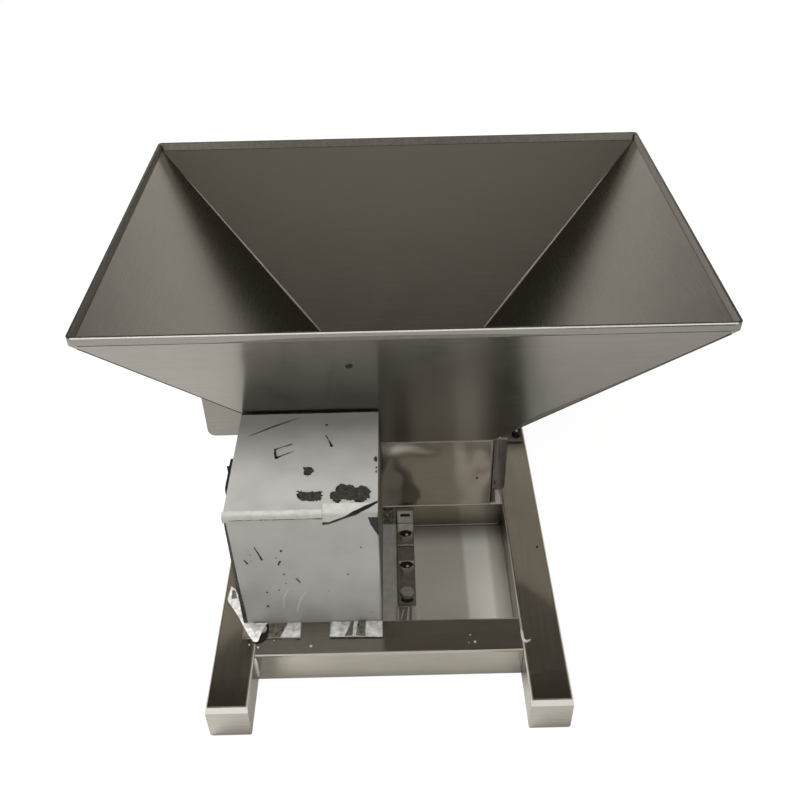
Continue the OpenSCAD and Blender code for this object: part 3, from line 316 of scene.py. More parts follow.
NODE_FINISH = {
    "tube_x": "front_cross_tube middle_cross_tube rear_cross_tube",
    "tube_y": "left_rail right_rail",
    "bracket": "left_plate_bracket right_plate_bracket",
    "cap": "rail_end_caps",
    "sheet_x": "hopper_back_wall chamber_rear_wall front_comb rear_comb crumb_grate",
    "front": "hopper_front_wall",
    "rim": "hopper_rim",
    "gusset": "hopper_bracket",
    "panel": "chamber_front_wall",
    "sheet_y": "hopper_right_wall hopper_left_wall left_end_plate right_end_plate belt_guard",
    "film": "drive_cover",
    "pan": "motor_pan",
    "galvanised_and_highlight": "motor_base_plate",
    "plate": "foot_lugs",
    "black_bolt": "bracket_bolts",
    "blade": "cutter_discs",
    "turned": "roller_shaft motor_shaft bearing_inner_rings bearing_outer_rings",
    "aluminium": "spacer_rings",
    "iron": "left_bearing_housing right_bearing_housing roller_pulley motor_pulley",
    "motor": "motor_housing motor_left_bell motor_right_bell",
    "zinc": "housing_bolts cover_screws base_plate_bolts motor_bolts roller_nut",
    "rubber": "drive_belt",
    "plastic": "switch_body switch_rocker cable_gland",
}
CORNER_JOIN = 0.005 * MM
EDGE_ROUND = 0.4 * MM
SHARP_EDGE = math.radians(40)


def dress_nodes():
    """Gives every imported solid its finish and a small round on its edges."""
    for finish, names in NODE_FINISH.items():
        for name in names.split():
            node = nodes[name]
            node.data.materials.clear()
            node.data.materials.append(finishes[finish])
            weld = node.modifiers.new("join_corners", "WELD")
            weld.merge_threshold = CORNER_JOIN
            edge = node.modifiers.new("broken_edges", "BEVEL")
            edge.width = EDGE_ROUND
            edge.segments = 2
            edge.limit_method = "ANGLE"
            edge.angle_limit = SHARP_EDGE
            edge.harden_normals = True


dress_nodes()


# Places on the machine

COVER_SHEET = 1.2 * MM
WALL_SHEET = 1.55 * MM
LIP_SHEET = 2.6 * MM
cover_low, cover_high = (Vector(c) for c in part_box("drive_cover"))
tube_low, tube_high = (Vector(c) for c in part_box("front_cross_tube"))
screws_low, screws_high = (Vector(c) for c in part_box("cover_screws"))
panel_low = Vector(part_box("chamber_front_wall")[0])
wall_low, wall_high = (Vector(c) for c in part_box("hopper_front_wall"))
rim_low, rim_high = (Vector(c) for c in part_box("hopper_rim"))
left_rail_high = Vector(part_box("left_rail")[1])
cover_front = tube_high.y - COVER_SHEET
tab_top = tube_high.z + COVER_SHEET


class Face:
    """A flat face of the machine: places on it are in mm, across and along from its corner."""

    def __init__(self, corner, across, along):
        self.corner = Vector(corner)
        self.across = Vector(across).normalized()
        self.along = Vector(along).normalized()
        self.out = self.across.cross(self.along)

    def at(self, x, y, lift=0.0):
        """The place at x across and y along, lifted off the face."""
        return self.corner + (self.across * x + self.along * y + self.out * lift) * MM


cover_top_face = Face((cover_low.x, cover_front, cover_high.z), (1, 0, 0), (0, 1, 0))
cover_front_face = Face((cover_low.x, cover_front, cover_high.z), (1, 0, 0), (0, 0, -1))
# Places on the cover's front run down from its top, so its outward side is given.
cover_front_face.out = Vector((0, -1, 0))
cover_side_face = Face((cover_high.x, cover_front, cover_low.z), (0, 1, 0), (0, 0, 1))
tab_face = Face((0, 0, tab_top), (1, 0, 0), (0, 1, 0))
tab_edge_face = Face((0, cover_low.y, tube_high.z), (1, 0, 0), (0, 0, 1))
tube_top_face = Face((0, 0, tube_high.z), (1, 0, 0), (0, 1, 0))
panel_face = Face((0, panel_low.y, 0), (1, 0, 0), (0, 0, 1))
wall_foot = Vector((0, wall_high.y - WALL_SHEET, wall_low.z))
wall_slope = Vector((0, wall_low.y, wall_high.z)) - wall_foot
wall_face = Face(wall_foot, (1, 0, 0), wall_slope)
lip_face = Face((0, rim_low.y, rim_low.z), (1, 0, 0), (0, 0, 1))


def new_piece(name, mesh, finish):
    """A finished mesh as a piece that rides on the machine's frame."""
    mesh.materials.append(finishes[finish])
    piece = bpy.data.objects.new(name, mesh)
    bpy.context.scene.collection.objects.link(piece)
    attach(piece, "machine_frame")
    return piece


def built_piece(build, name, finish, smooth=False):
    """A built mesh as a piece, with its faces turned outward."""
    bmesh.ops.recalc_face_normals(build, faces=build.faces)
    mesh = bpy.data.meshes.new(name)
    build.to_mesh(mesh)
    build.free()
    mesh.polygons.foreach_set("use_smooth", [smooth] * len(mesh.polygons))
    return new_piece(name, mesh, finish)


# Marks: thin spots and strokes of glue residue, dirt and wear, and of painted shade and painted highlight,
# in mm on their faces

MARK_THICK = 0.15
MARK_SUNK = -0.1
RAGGED_STEP = 0.8
RAGGED_SCALE = 0.9
# Distance in the noise from one outline of a piece to its next, so that no two stray alike.
RAGGED_APART = 7.3
BLOT_SIDES = 10


def ragged(outline, roughness, seed):
    """The outline with extra points along its edges, moved in or out by a noise, roughness mm at most."""
    points = []
    for i, (x0, y0) in enumerate(outline):
        x1, y1 = outline[(i + 1) % len(outline)]
        length = math.hypot(x1 - x0, y1 - y0)
        steps = max(1, round(length / RAGGED_STEP))
        for k in range(steps):
            x, y = x0 + (x1 - x0) * k / steps, y0 + (y1 - y0) * k / steps
            spot = Vector((x * RAGGED_SCALE, y * RAGGED_SCALE, seed * RAGGED_APART))
            push = roughness * noise.noise(spot)
            points.append((x - (y1 - y0) / length * push, y + (x1 - x0) / length * push))
    return points


def stroke(points, widths):
    """Outline of a pen stroke through points, with a width at each of them."""
    left, right = [], []
    for i, (x, y) in enumerate(points):
        before, after = points[max(i - 1, 0)], points[min(i + 1, len(points) - 1)]
        dx, dy = after[0] - before[0], after[1] - before[1]
        length = math.hypot(dx, dy)
        nx, ny = -dy / length * widths[i] / 2, dx / length * widths[i] / 2
        left.append((x + nx, y + ny))
        right.append((x - nx, y - ny))
    return left + right[::-1]


def blot(x, y, width, height, turn=0.0):
    """Outline of a round spot."""
    c, s = math.cos(turn), math.sin(turn)
    ring = [(width / 2 * math.cos(a), height / 2 * math.sin(a))
            for a in (2 * math.pi * k / BLOT_SIDES for k in range(BLOT_SIDES))]
    return [(x + c * u - s * v, y + s * u + c * v) for u, v in ring]


def oblong(x0, y0, x1, y1):
    """Outline of a rectangle between two of its corners."""
    return [(x0, y0), (x1, y0), (x1, y1), (x0, y1)]


def make_marks(name, face, outlines, roughness, finish, lift=0.0):
    """Thin closed slabs with ragged outlines on one face, as one piece."""
    build = bmesh.new()
    for seed, outline in enumerate(outlines):
        points = ragged(outline, roughness, seed)
        low = [build.verts.new(face.at(x, y, lift)) for x, y in points]
        high = [build.verts.new(face.at(x, y, lift + MARK_THICK)) for x, y in points]
        build.faces.new(low[::-1])
        build.faces.new(high)
        for i in range(len(points)):
            j = (i + 1) % len(points)
            build.faces.new((low[i], low[j], high[j], high[i]))
    bmesh.ops.triangulate(build, faces=[f for f in build.faces if len(f.verts) > 4])
    return built_piece(build, name, finish)


# Marks on the cover

TOP_PATCHES = [
    [(96.5, 25.4), (101, 30.5), (105.3, 38.4), (117.6, 36.6), (119.6, 31.2), (124.2, 35.1), (128.9, 34.9),
     (134.6, 28.1), (132.8, 19), (127.4, 14), (115.3, 16.9), (107.9, 18.5), (103.5, 13.4), (98.8, 16.2)],
    [(65.5, 30.3), (89, 28.2), (88.7, 16.5), (68.3, 18.4)],
    [(68.9, 63), (77.5, 62.7), (80.8, 57), (76.3, 51.6), (71.5, 53.1)],
]
TOP_STROKES = [
    stroke([(56, 96.4), (48, 93.2), (39.4, 89.6), (40.3, 83), (41.8, 76.7)], [1.6, 0.9, 1.4, 2.2, 2.8]),
    stroke([(41.8, 77), (50, 81.6), (58.4, 86.3)], [2.0, 0.9, 0.9]),
    stroke([(88.7, 109.2), (92, 101), (95.4, 92.6)], [0.8, 1.2, 2.2]),
    blot(95.2, 93, 3.6, 3.2),
    blot(42.2, 77.2, 4.2, 3.4),
    blot(88.9, 124.7, 3, 2),
    blot(138.6, 72, 3.4, 8),
    blot(139.4, 60, 1.6, 3),
    blot(139.2, 54, 1.4, 4),
]
TOP_SCRATCH = stroke([(11.5, 110.3), (35.1, 125), (59.6, 136.8)], [0.7, 1.1, 0.6])
# The dark line along the cover's back edge, under the hopper: painted shadow.
BACK_SHADOW = oblong(0.6, 143.9, 140.4, 145.8)
FRONT_STROKES = [
    stroke([(23.9, 42), (26.4, 50), (29.3, 60.3)], [0.9, 1.3, 2.2]),
    stroke([(12.3, 59.7), (15.4, 65.5)], [1.0, 2.0]),
    stroke([(46.4, 62), (43.7, 68)], [1.6, 1.4]),
    stroke([(59.1, 87.3), (62.5, 93.3)], [1.2, 1.8]),
    [(131.8, 5.5), (140.8, 5.5), (140.8, 31), (137.6, 23.5), (134, 15.5)],
]
# Spots on the front: place across and down, and width.
FRONT_SPOTS = [
    (15.9, 45.8, 0.9), (18.8, 52.9, 1.0), (18.7, 61.4, 0.9), (48.5, 48.3, 2.4), (42.8, 57.9, 1.1),
    (48.1, 81.1, 1.8), (48.8, 94.3, 1.1), (28.9, 107.2, 2.0), (40.9, 104.5, 1.5), (27.5, 128.6, 2.6),
    (123.8, 45.3, 1.6), (109.6, 83.2, 1.7), (88.7, 107.7, 0.9), (129.6, 141.7, 1.0),
]
# Down the cover's left front bend: bare dark steel where the film ends, darkened further as painted shade;
# then a painted shadow line under the loose band's lower edge.
BARE_BEND = [(0.2, 9), (1.9, 9), (2.5, 80), (4.6, 155), (0.2, 155)]
BAND_SHADOW_LINE = stroke([(1, 6.2), (24, 5.8), (48, 6), (70, 5.7), (90, 6)], [0.9, 0.6, 0.8, 0.6, 0.9])
SCUFFS = [
    stroke([(43.3, 132), (44.5, 116), (51, 102)], [0.8, 1.8, 0.8]),
    stroke([(55.5, 139), (60, 120), (68.3, 105.5)], [0.8, 2.0, 0.8]),
]
SCUFF_SUNK = -0.08
# The cover's right side is drawn dull and dark as painted shade, with film left round it: beside its upright
# edges, above its foot and under the top bend.
SIDE_MARGIN, SIDE_FOOT, SIDE_HEAD = 1, 1.6, 3
side_depth = (cover_high.y - cover_front) / MM
side_height = (cover_high.z - cover_low.z) / MM
shaded_side = oblong(SIDE_MARGIN, SIDE_FOOT, side_depth - SIDE_MARGIN, side_height - SIDE_HEAD)
front_marks = FRONT_STROKES + [blot(x, y, size, size * 1.2) for x, y, size in FRONT_SPOTS]

make_marks("cover_top_residue", cover_top_face, TOP_PATCHES, 2.6, "patch")
make_marks("cover_top_strokes", cover_top_face, TOP_STROKES, 0.8, "residue_and_shadow")
make_marks("cover_top_scratch", cover_top_face, [TOP_SCRATCH], 0.4, "shaded")
make_marks("cover_back_shadow", cover_top_face, [BACK_SHADOW], 0.5, "residue_and_shadow")
make_marks("cover_front_residue", cover_front_face, front_marks, 0.6, "residue_and_shadow")
make_marks("cover_bare_bend_and_shadow", cover_front_face, [BARE_BEND, BAND_SHADOW_LINE], 0.6, "bare_and_shade")
make_marks("cover_front_scuffs", cover_front_face, SCUFFS, 0.5, "scuff_and_shade", SCUFF_SUNK)
make_marks("cover_shaded_side", cover_side_face, [shaded_side], 0.5, "shaded")


# Marks on the panel, the tubes and the hopper's front wall

PANEL_SPECKS = [blot(79.4, 81.3, 3, 3), blot(15.1, 53.3, 1.8, 1.8)]
# Painted highlights along the panel's top and right edges.
PANEL_EDGE_HIGHLIGHT = [stroke([(-20, 136.7), (94.6, 136.7)], [2.2, 2.2]), stroke([(94.2, 135), (94.2, 44)], [2, 1.4])]
# Painted shade in the gap at the panel's right edge.
PANEL_GAP_SHADE = stroke([(96.2, 43), (96.2, 137)], [1.5, 1.5])
# Painted highlight along the middle tube's foot.
TUBE_FOOT_HIGHLIGHT = stroke([(-11, 6.4), (50, 6.4), (106, 6.6)], [1.0, 1.6, 1.4])
TUBE_FOOT_SUNK = -0.05
RAIL_SPECK = blot(141.1, -138.9, 3, 3.4)
WALL_SPECK = blot(-54, 134.6, 8, 6.4, 0.5)

make_marks("panel_specks", panel_face, PANEL_SPECKS, 0.5, "residue_and_shadow")
make_marks("panel_edge_highlight", panel_face, PANEL_EDGE_HIGHLIGHT, 0.3, "rub_and_highlight")
make_marks("panel_gap_shade", panel_face, [PANEL_GAP_SHADE], 0.2, "black_shade_and_speck")
make_marks("middle_tube_foot_highlight", panel_face, [TUBE_FOOT_HIGHLIGHT], 0.2, "weld", TUBE_FOOT_SUNK)
make_marks("rail_speck", tube_top_face, [RAIL_SPECK], 0.6, "residue_and_shadow")
make_marks("wall_speck", wall_face, [WALL_SPECK], 0.9, "black_shade_and_speck")

# The front wall's slanted edges: a painted dark reflection along each edge, and on the right a wider band of
# painted dark reflection where the wing mirrors dark.
THROAT_HALF = 95
EDGE_ACROSS = wall_high.x / MM - THROAT_HALF
EDGE_ALONG = wall_slope.length / MM
# Widths of the dark edges at their foot, middle and head, on the left (-1) and on the right (1).
EDGE_WIDTHS = {-1: (0.9, 0.7, 1.0), 1: (1.6, 1.4, 1.8)}
# The painted dark band: shares of the edge's length, and how far it reaches in there.
WING_SHADE = [(0.1, 1.6), (0.15, 8), (0.22, 9.4), (0.35, 7), (0.5, 4.6), (0.65, 3), (0.85, 1.8)]
WING_SHADE_FOOT = 0.6
# The dark edge's middle line: shares of the edge's length, and how far in it runs there.
EDGE_LINE = [(0.01, 1.1), (0.5, 1.0), (0.97, 0.9)]
EDGE_LIFT = 0.1


def on_edge(side, share, inward):
    """A point on the front wall, inward by some mm from its slanted edge at a share of the edge's length."""
    return side * (THROAT_HALF + EDGE_ACROSS * share), EDGE_ALONG * share + inward


wall_edge_shades = [stroke([on_edge(side, share, inward) for share, inward in EDGE_LINE], widths)
              for side, widths in EDGE_WIDTHS.items()]
wing_shade = [on_edge(1, share, WING_SHADE_FOOT) for share, reach in WING_SHADE]
wing_shade += [on_edge(1, share, reach) for share, reach in WING_SHADE[::-1]]
make_marks("wall_edge_shades", wall_face, wall_edge_shades, 0.1, "bare_and_shade", EDGE_LIFT)
make_marks("wall_wing_shade", wall_face, [wing_shade], 0.2, "shaded")


# Marks on the rim: fold lines darkened as painted shade, a band of painted shade low on its front and a
# painted highlight along its upper edge, and hems on its inner faces

LIP_FOLDS = [
    stroke([(-304, 0.5), (-230, 0.5), (-150, 0.5)], [0.9, 0.7, 0.3]),
    stroke([(100, 0.5), (200, 0.5), (304, 0.5)], [0.3, 0.7, 0.8]),
    stroke([(150, 7.4), (230, 7.4), (306, 7.4)], [0.3, 0.9, 0.9]),
]
# Painted shade low on the lip's front, where the fold turns under.
LIP_SHADE_BAND = [(-190, 0.3), (160, 0.3), (90, 3.6), (0, 4.8), (-100, 4.2)]
LIP_SHINE = oblong(-309, 8.4, 309, 9.95)
HEM_LOW, HEM_HIGH = 0.2, 9.5
HEM_END = 5
# Each hem's side, the corner and direction of its face, and where that side starts and ends.
HEMS = (
    ("left", (rim_low.x + LIP_SHEET, 0, rim_low.z), (0, 1, 0), rim_low.y, rim_high.y),
    ("right", (rim_high.x - LIP_SHEET, 0, rim_low.z), (0, -1, 0), -rim_high.y, -rim_low.y),
    ("back", (0, rim_high.y - LIP_SHEET, rim_low.z), (1, 0, 0), rim_low.x, rim_high.x),
)

make_marks("lip_folds", lip_face, LIP_FOLDS, 0.1, "bare_and_shade", MARK_SUNK)
make_marks("lip_shade_band", lip_face, [LIP_SHADE_BAND], 0.1, "shaded", MARK_SUNK)
make_marks("lip_front_shine", lip_face, [LIP_SHINE], 0.0, "weld", MARK_SUNK)
for side, corner, across, start, end in HEMS:
    hem = oblong(start / MM + HEM_END, HEM_LOW, end / MM - HEM_END, HEM_HIGH)
    make_marks("rim_hem_" + side, Face(corner, across, (0, 0, 1)), [hem], 0.05, "rub_and_highlight")


# Films: a loose band on the bend, a torn flap, and creased scraps on the tabs, with painted shadows under
# their lifted edges

FILM_THICK = 0.15 * MM
BEND_ROUND = 2.4


def make_film(name, cells, point, finish):
    """A thin closed film of so many cells along and across. Point gives its place at a share of its length
    and a share of its width."""
    length, width = cells
    count = width + 1
    points = [point(k / length, i / width) for k in range(length + 1) for i in range(count)]
    faces = [(r * count + c, r * count + c + 1, (r + 1) * count + c + 1, (r + 1) * count + c)
             for r in range(length) for c in range(width)]
    mesh = bpy.data.meshes.new(name)
    mesh.from_pydata(points, [], faces)
    piece = new_piece(name, mesh, finish)
    body = piece.modifiers.new("film_thickness", "SOLIDIFY")
    body.thickness = FILM_THICK
    body.offset = 1.0
    return piece


def between(start, end, share):
    """The point at a share of the way from start to end."""
    return [a + (b - a) * share for a, b in zip(start, end)]


def along_points(points, share):
    """The point at a share of the way along a list of points."""
    place = share * (len(points) - 1)
    i = min(int(place), len(points) - 2)
    return between(points[i], points[i + 1], place - i)


def over_bend(x, s, lift):
    """A point over the cover's top front bend: s mm from the edge, back along the top or, if negative,
    down the front."""
    turn = BEND_ROUND * math.pi / 2
    if s > turn / 2:
        return cover_top_face.at(x, s + BEND_ROUND - turn / 2, lift)
    if s < -turn / 2:
        return cover_front_face.at(x, -s + BEND_ROUND - turn / 2, lift)
    a = (s / turn + 0.5) * math.pi / 2
    out = Vector((0, -math.cos(a), math.sin(a)))
    centre = cover_top_face.corner + Vector((x, BEND_ROUND, -BEND_ROUND)) * MM
    return centre + out * (BEND_ROUND + lift) * MM


BAND_START, BAND_LENGTH = -0.9, 91.1
BAND_BACK, BAND_FRONT = 5.2, -4.6
BAND_WAVE = 0.7
BAND_LIFT = 0.12
# Height of the band's middle, and what its waves and its fray add to that.
BAND_RISE, BAND_RISE_WAVE, BAND_RISE_FRAY = 0.4, 0.2, 0.15
# The band's left end over the cover's corner: its length, how far it hangs down, and its extra height.
BAND_END, BAND_END_DROP = 8, 4
BAND_END_RISE, BAND_END_FRAY = 0.6, 1.4


def bend_film_point(t, w):
    """A point of the loose band: its edges are wavy, its middle is hardly raised, its left end more so."""
    # In this noise and those below, the fixed numbers only pick one pattern out of many.
    x = BAND_START + BAND_LENGTH * t
    wave = noise.noise(Vector((x * 0.11, 3.1, 0.4)))
    fray = noise.noise(Vector((x * 0.5, 8.7, 1.9)))
    end = max(0.0, 1 - BAND_LENGTH * t / BAND_END)
    back = BAND_BACK + BAND_WAVE * fray
    front = BAND_FRONT - BAND_WAVE * wave - BAND_END_DROP * end
    rise = BAND_RISE + BAND_RISE_WAVE * wave + BAND_RISE_FRAY * fray
    rise += end * (BAND_END_RISE + BAND_END_FRAY * abs(fray))
    return over_bend(x, back + (front - back) * w, BAND_LIFT + math.sin(math.pi * w) * rise)


# Both edges of the tear, from left to right: place across, and distance from the bend.
TEAR_UPPER = [(90.6, -8.6), (96.2, -8.9), (102.7, -5.8), (110.5, -2.2), (121.2, 2.8), (132.9, 10.1),
              (140.7, 15)]
TEAR_LOWER = [(89.4, -13.7), (95.9, -12.8), (102.5, -9.8), (110, -6.1), (122.2, -1.2), (131.2, 4.4),
              (140.8, 12.3)]
TEAR_LIFT = 0.08
# The flap: its back edge and that edge's waves, the share of the tear it follows, its heights and creases.
FLAP_BACK, FLAP_BACK_WAVE = 12.4, 0.6
FLAP_END = 0.88
FLAP_LIFT, FLAP_RISE = 0.2, 0.7
FLAP_CREASE, FLAP_CREASE_LIFT = 0.5, 0.3


def tear_point(t, w):
    """A point of the dark slit, which runs from the cover's front over the bend to its right side: painted
    shadow under the lifted flap, over dark glue.
    """
    x, s = between(along_points(TEAR_UPPER, t), along_points(TEAR_LOWER, t), w)
    return over_bend(x, s, TEAR_LIFT)


def flap_point(t, w):
    """A point of the torn film behind the slit: it lies on the top and lifts off a little along the tear."""
    x, front = along_points(TEAR_UPPER, FLAP_END * t)
    back = FLAP_BACK + FLAP_BACK_WAVE * noise.noise(Vector((x * 0.4, 0.2, 5.1)))
    s = back + (front - back) * w
    crease = noise.noise(Vector((x * 0.16, s * 0.2, 2.2))) * FLAP_CREASE
    return over_bend(x, s, FLAP_LIFT + w * w * (FLAP_RISE + crease) + FLAP_CREASE_LIFT * abs(crease))


def creased(x, y, size):
    """Height of a creased sheet, from 0 to 1: flat facets between sharp folds."""
    near = noise.voronoi(Vector((x / size, y / size, 4.2)))[0]
    return min(1.0, near[1] - near[0])


HEAD_CLEAR = 0.5
HEAD_SLOPE = 5
TAB_SLOPE = 2


def screw_dome(x, y):
    """Height that clears the heads of the cover's screws, in mm above the tabs."""
    head = (screws_high.y - screws_low.y) / 2
    middle = (screws_low.y + screws_high.y) / 2
    rise = (screws_high.z - tab_top) / MM + HEAD_CLEAR
    centres = (screws_low.x + head, screws_high.x - head)
    far = min(math.hypot(x * MM - centre, y * MM - middle) for centre in centres) / MM
    return rise * max(0.0, min(1.0, 1 - (far - head / MM - HEAD_CLEAR) / HEAD_SLOPE))


def ground(x, y):
    """Height of what carries a scrap, in mm: a tab of the cover, or the tube and rail beside it."""
    inside = min((x - cover_low.x / MM) / TAB_SLOPE + 1, (y - cover_low.y / MM) / TAB_SLOPE + 1, 1)
    return tube_high.z / MM + COVER_SHEET / MM * max(0.0, inside)


# Both edges of the peeled strip, from its end on the left rail to its tongue, and of the painted shadow in
# the hollow beside that.
STRIP_OUTER = [(-187.6, -185.1), (-189.6, -201.6), (-187.6, -206.2), (-179.7, -218), (-172.6, -229.5),
               (-169.3, -235.8), (-164.8, -243.9), (-161.1, -250), (-156.4, -256.1)]
STRIP_INNER = [(-182.8, -189.3), (-178.5, -198.7), (-176.3, -204), (-172.6, -215.7), (-170.4, -228.7),
               (-156.5, -234.9), (-144.3, -235), (-147.5, -241.6), (-151.9, -256.3)]
HOLLOW_INNER = [(-144.7, -234.6), (-147.3, -240.3), (-150, -247), (-153, -254.7), (-158, -255.4)]
HOLLOW_OUTER = [(-143.4, -235.6), (-142.2, -244.7), (-143.4, -250.7), (-147, -255.7), (-154, -258.4)]
HOLLOW_LIFT = 0.35
STRIP_LIFT, STRIP_CREASE, STRIP_CREASE_SIZE = 0.3, 1.6, 13
TONGUE_START, TONGUE_GROWTH, TONGUE_RISE = 0.5, 0.2, 1.8
FOLD_LIFT = 0.2


def strip_point(t, w, extra=0.0):
    """A point of the peeled strip, which runs from the left rail round the cover's corner: it is creased,
    and its tongue is lifted along one side."""
    x, y = between(along_points(STRIP_OUTER, t), along_points(STRIP_INNER, t), w)
    tongue = min(1.0, max(0.0, (t - TONGUE_START) / TONGUE_GROWTH))
    lift = STRIP_LIFT + STRIP_CREASE * creased(x, y, STRIP_CREASE_SIZE) + TONGUE_RISE * tongue * w * w
    return Vector((x, y, max(ground(x, y) + lift, tab_top / MM + screw_dome(x, y)) + extra)) * MM


def tongue_shadow_point(t, w):
    """A point of the painted shadow beside the tongue, on the tab and the tube: a black sheet under its
    raised edge.
    """
    x, y = between(along_points(HOLLOW_INNER, t), along_points(HOLLOW_OUTER, t), w)
    return Vector((x, y, ground(x, y) + HOLLOW_LIFT)) * MM


def make_strip_fold(name, reach, across, finish):
    """A darker facet of the peeled strip, painted shade in a fold, between two shares of its length and two
    of its width.
    """
    def point(t, w):
        """A point of the facet, a little above the strip."""
        share_long = reach[0] + (reach[1] - reach[0]) * t
        share_wide = across[0] + (across[1] - across[0]) * w
        return strip_point(share_long, share_wide, FOLD_LIFT)

    return make_film(name, (12, 8), point, finish)


SCRAP_LIFT = 0.25
SCRAP_CREASE, SCRAP_CREASE_SIZE = 1.6, 17
SCRAP_FINE_CREASE, SCRAP_FINE_SIZE, SCRAP_FINE_SHIFT = 0.4, 8, 40


def make_scrap(name, outline, cells, finish, extra=0.0):
    """A creased scrap of film on one of the cover's tabs; outline is its four corners."""
    back_left, back_right, front_right, front_left = outline

    def point(t, w):
        """A point of the scrap, clear of the screws' heads."""
        x, y = between(between(back_left, back_right, w), between(front_left, front_right, w), t)
        lift = SCRAP_LIFT + SCRAP_CREASE * creased(x, y, SCRAP_CREASE_SIZE)
        lift += SCRAP_FINE_CREASE * creased(x + SCRAP_FINE_SHIFT, y, SCRAP_FINE_SIZE)
        return Vector((x, y, tab_top / MM + max(lift, screw_dome(x, y)) + extra)) * MM

    return make_film(name, cells, point, finish)


LEFT_SCRAP = [(-124, -234.4), (-111.2, -234.4), (-110.4, -252.6), (-130.1, -251)]
RIGHT_SCRAP = [(-79.1, -234.4), (-28.5, -234.4), (-28.3, -254), (-81, -252.2)]
LEFT_SHADE = [(-66, -251.9), (-60, -234.5), (-57.2, -234.5), (-58.4, -252.2)]
RIGHT_SHADE = [(-53, -234.5), (-45, -234.5), (-45.4, -252.8), (-55, -252.3)]
TAB_PATCH = [(-168.6, -234.2), (-124.5, -234.2), (-130.6, -251.7), (-168.6, -251.7)]
# Painted shade on the left tab's front edge.
TAB_EDGE_SHADE = oblong(-168.6, 0.1, -129, 1.1)
# Painted shadow on the tube under the right scrap's front edge.
SCRAP_SHADOW = stroke([(-81, -253.1), (-61, -253.3)], [1.6, 1.3])

make_film("bend_film", (90, 10), bend_film_point, "loose_film")
make_film("film_tear", (60, 8), tear_point, "black_shade_and_speck")
make_film("torn_flap", (60, 16), flap_point, "loose_film")
make_film("peeled_strip", (80, 14), strip_point, "foil")
make_film("strip_tongue_shadow", (40, 8), tongue_shadow_point, "black_shade_and_speck")
make_strip_fold("strip_dark_fold", (0.03, 0.16), (0.35, 0.85), "clear")
make_strip_fold("strip_grey_fold", (0.66, 0.86), (0.3, 0.72), "scuff_and_shade")
make_marks("tab_bare_patch", tab_face, [TAB_PATCH], 0.8, "clear")
make_marks("tab_edge_shade", tab_edge_face, [TAB_EDGE_SHADE], 0.0, "plate")
make_marks("scrap_shadow", tube_top_face, [SCRAP_SHADOW], 0.3, "black_shade_and_speck")
make_scrap("left_scrap", LEFT_SCRAP, (26, 40), "foil")
make_scrap("right_scrap", RIGHT_SCRAP, (26, 66), "foil")
make_scrap("right_scrap_left_shade", LEFT_SHADE, (12, 16), "clear", FOLD_LIFT)
make_scrap("right_scrap_right_shade", RIGHT_SHADE, (12, 16), "clear", FOLD_LIFT)


# Welds

BEAD_STEP = 0.7 * MM
BEAD_RIPPLE = 1.6 * MM
BEAD_RIPPLE_SHARE = 0.12
# A bead's size at its very ends, as a share, and how fast it grows from there.
BEAD_END, BEAD_GROWTH = 0.35, 3
BEAD_SIDES = 10


def make_bead(name, points, width, height, finish="weld"):
    """A weld bead through points on a surface: rippled, low and closed at its ends."""
    build = bmesh.new()
    lengths = [0.0]
    for a, b in zip(points, points[1:]):
        lengths.append(lengths[-1] + (b - a).length)
    stations = max(6, int(lengths[-1] / BEAD_STEP))
    angles = [2 * math.pi * j / BEAD_SIDES for j in range(BEAD_SIDES)]
    rings = []
    for k in range(stations + 1):
        s = lengths[-1] * k / stations
        i = max(j for j in range(len(points) - 1) if lengths[j] <= s + 1e-9)
        part = (points[i + 1] - points[i]).normalized()
        centre = points[i] + part * (s - lengths[i])
        ripple = 1 + BEAD_RIPPLE_SHARE * math.sin(s / BEAD_RIPPLE * 2 * math.pi)
        taper = min(1.0, BEAD_END + BEAD_GROWTH * min(k, stations - k) / stations)
        side = part.cross(Vector((0, 0, 1)))
        side = side.normalized() if side.length > 0.1 else Vector((1, 0, 0))
        up = side.cross(part)
        size = ripple * taper * MM
        half, rise = side * (width / 2 * size), up * (height * size)
        rings.append([build.verts.new(centre + half * math.cos(a) + rise * math.sin(a)) for a in angles])
    for low, high in zip(rings, rings[1:]):
        for j in range(BEAD_SIDES):
            n = (j + 1) % BEAD_SIDES
            build.faces.new((low[j], low[n], high[n], high[j]))
    build.faces.new(rings[0][::-1])
    build.faces.new(rings[-1])
    return built_piece(build, name, finish, smooth=True)


def tube_top(x, y):
    """A place on top of the front cross tube and the rails, in mm across and along."""
    return Vector((x * MM, y * MM, tube_high.z))


RIGHT_CORNER = [(110.6, -246.9), (110.9, -259.6), (113.6, -262.6), (118.4, -260.4)]
LEFT_CORNER_HEIGHTS = (6, 20, 37)
# Drops of spatter on the front cross tube: place and width.
SPATTER = [(63.3, -261.3, 2.6), (59, -252.8, 1.6), (57, -262, 1.0), (-98.9, -261.6, 3.0),
           (-151.5, -262, 2.4), (-160.5, -258.5, 1.8), (-136.5, -254, 1.6)]
SPATTER_UNEVEN = 0.2
SPATTER_FLAT = 0.5


def make_spatter():
    """Flat, uneven drops of weld spatter."""
    build = bmesh.new()
    for x, y, size in SPATTER:
        drop = bmesh.ops.create_icosphere(build, subdivisions=2, radius=size / 2 * MM)["verts"]
        for vertex in drop:
            vertex.co *= 1 + SPATTER_UNEVEN * noise.noise(vertex.co / MM + Vector((x, y, 0)))
            vertex.co.z *= SPATTER_FLAT
            vertex.co += tube_top(x, y)
    return built_piece(build, "weld_spatter", "weld", smooth=True)


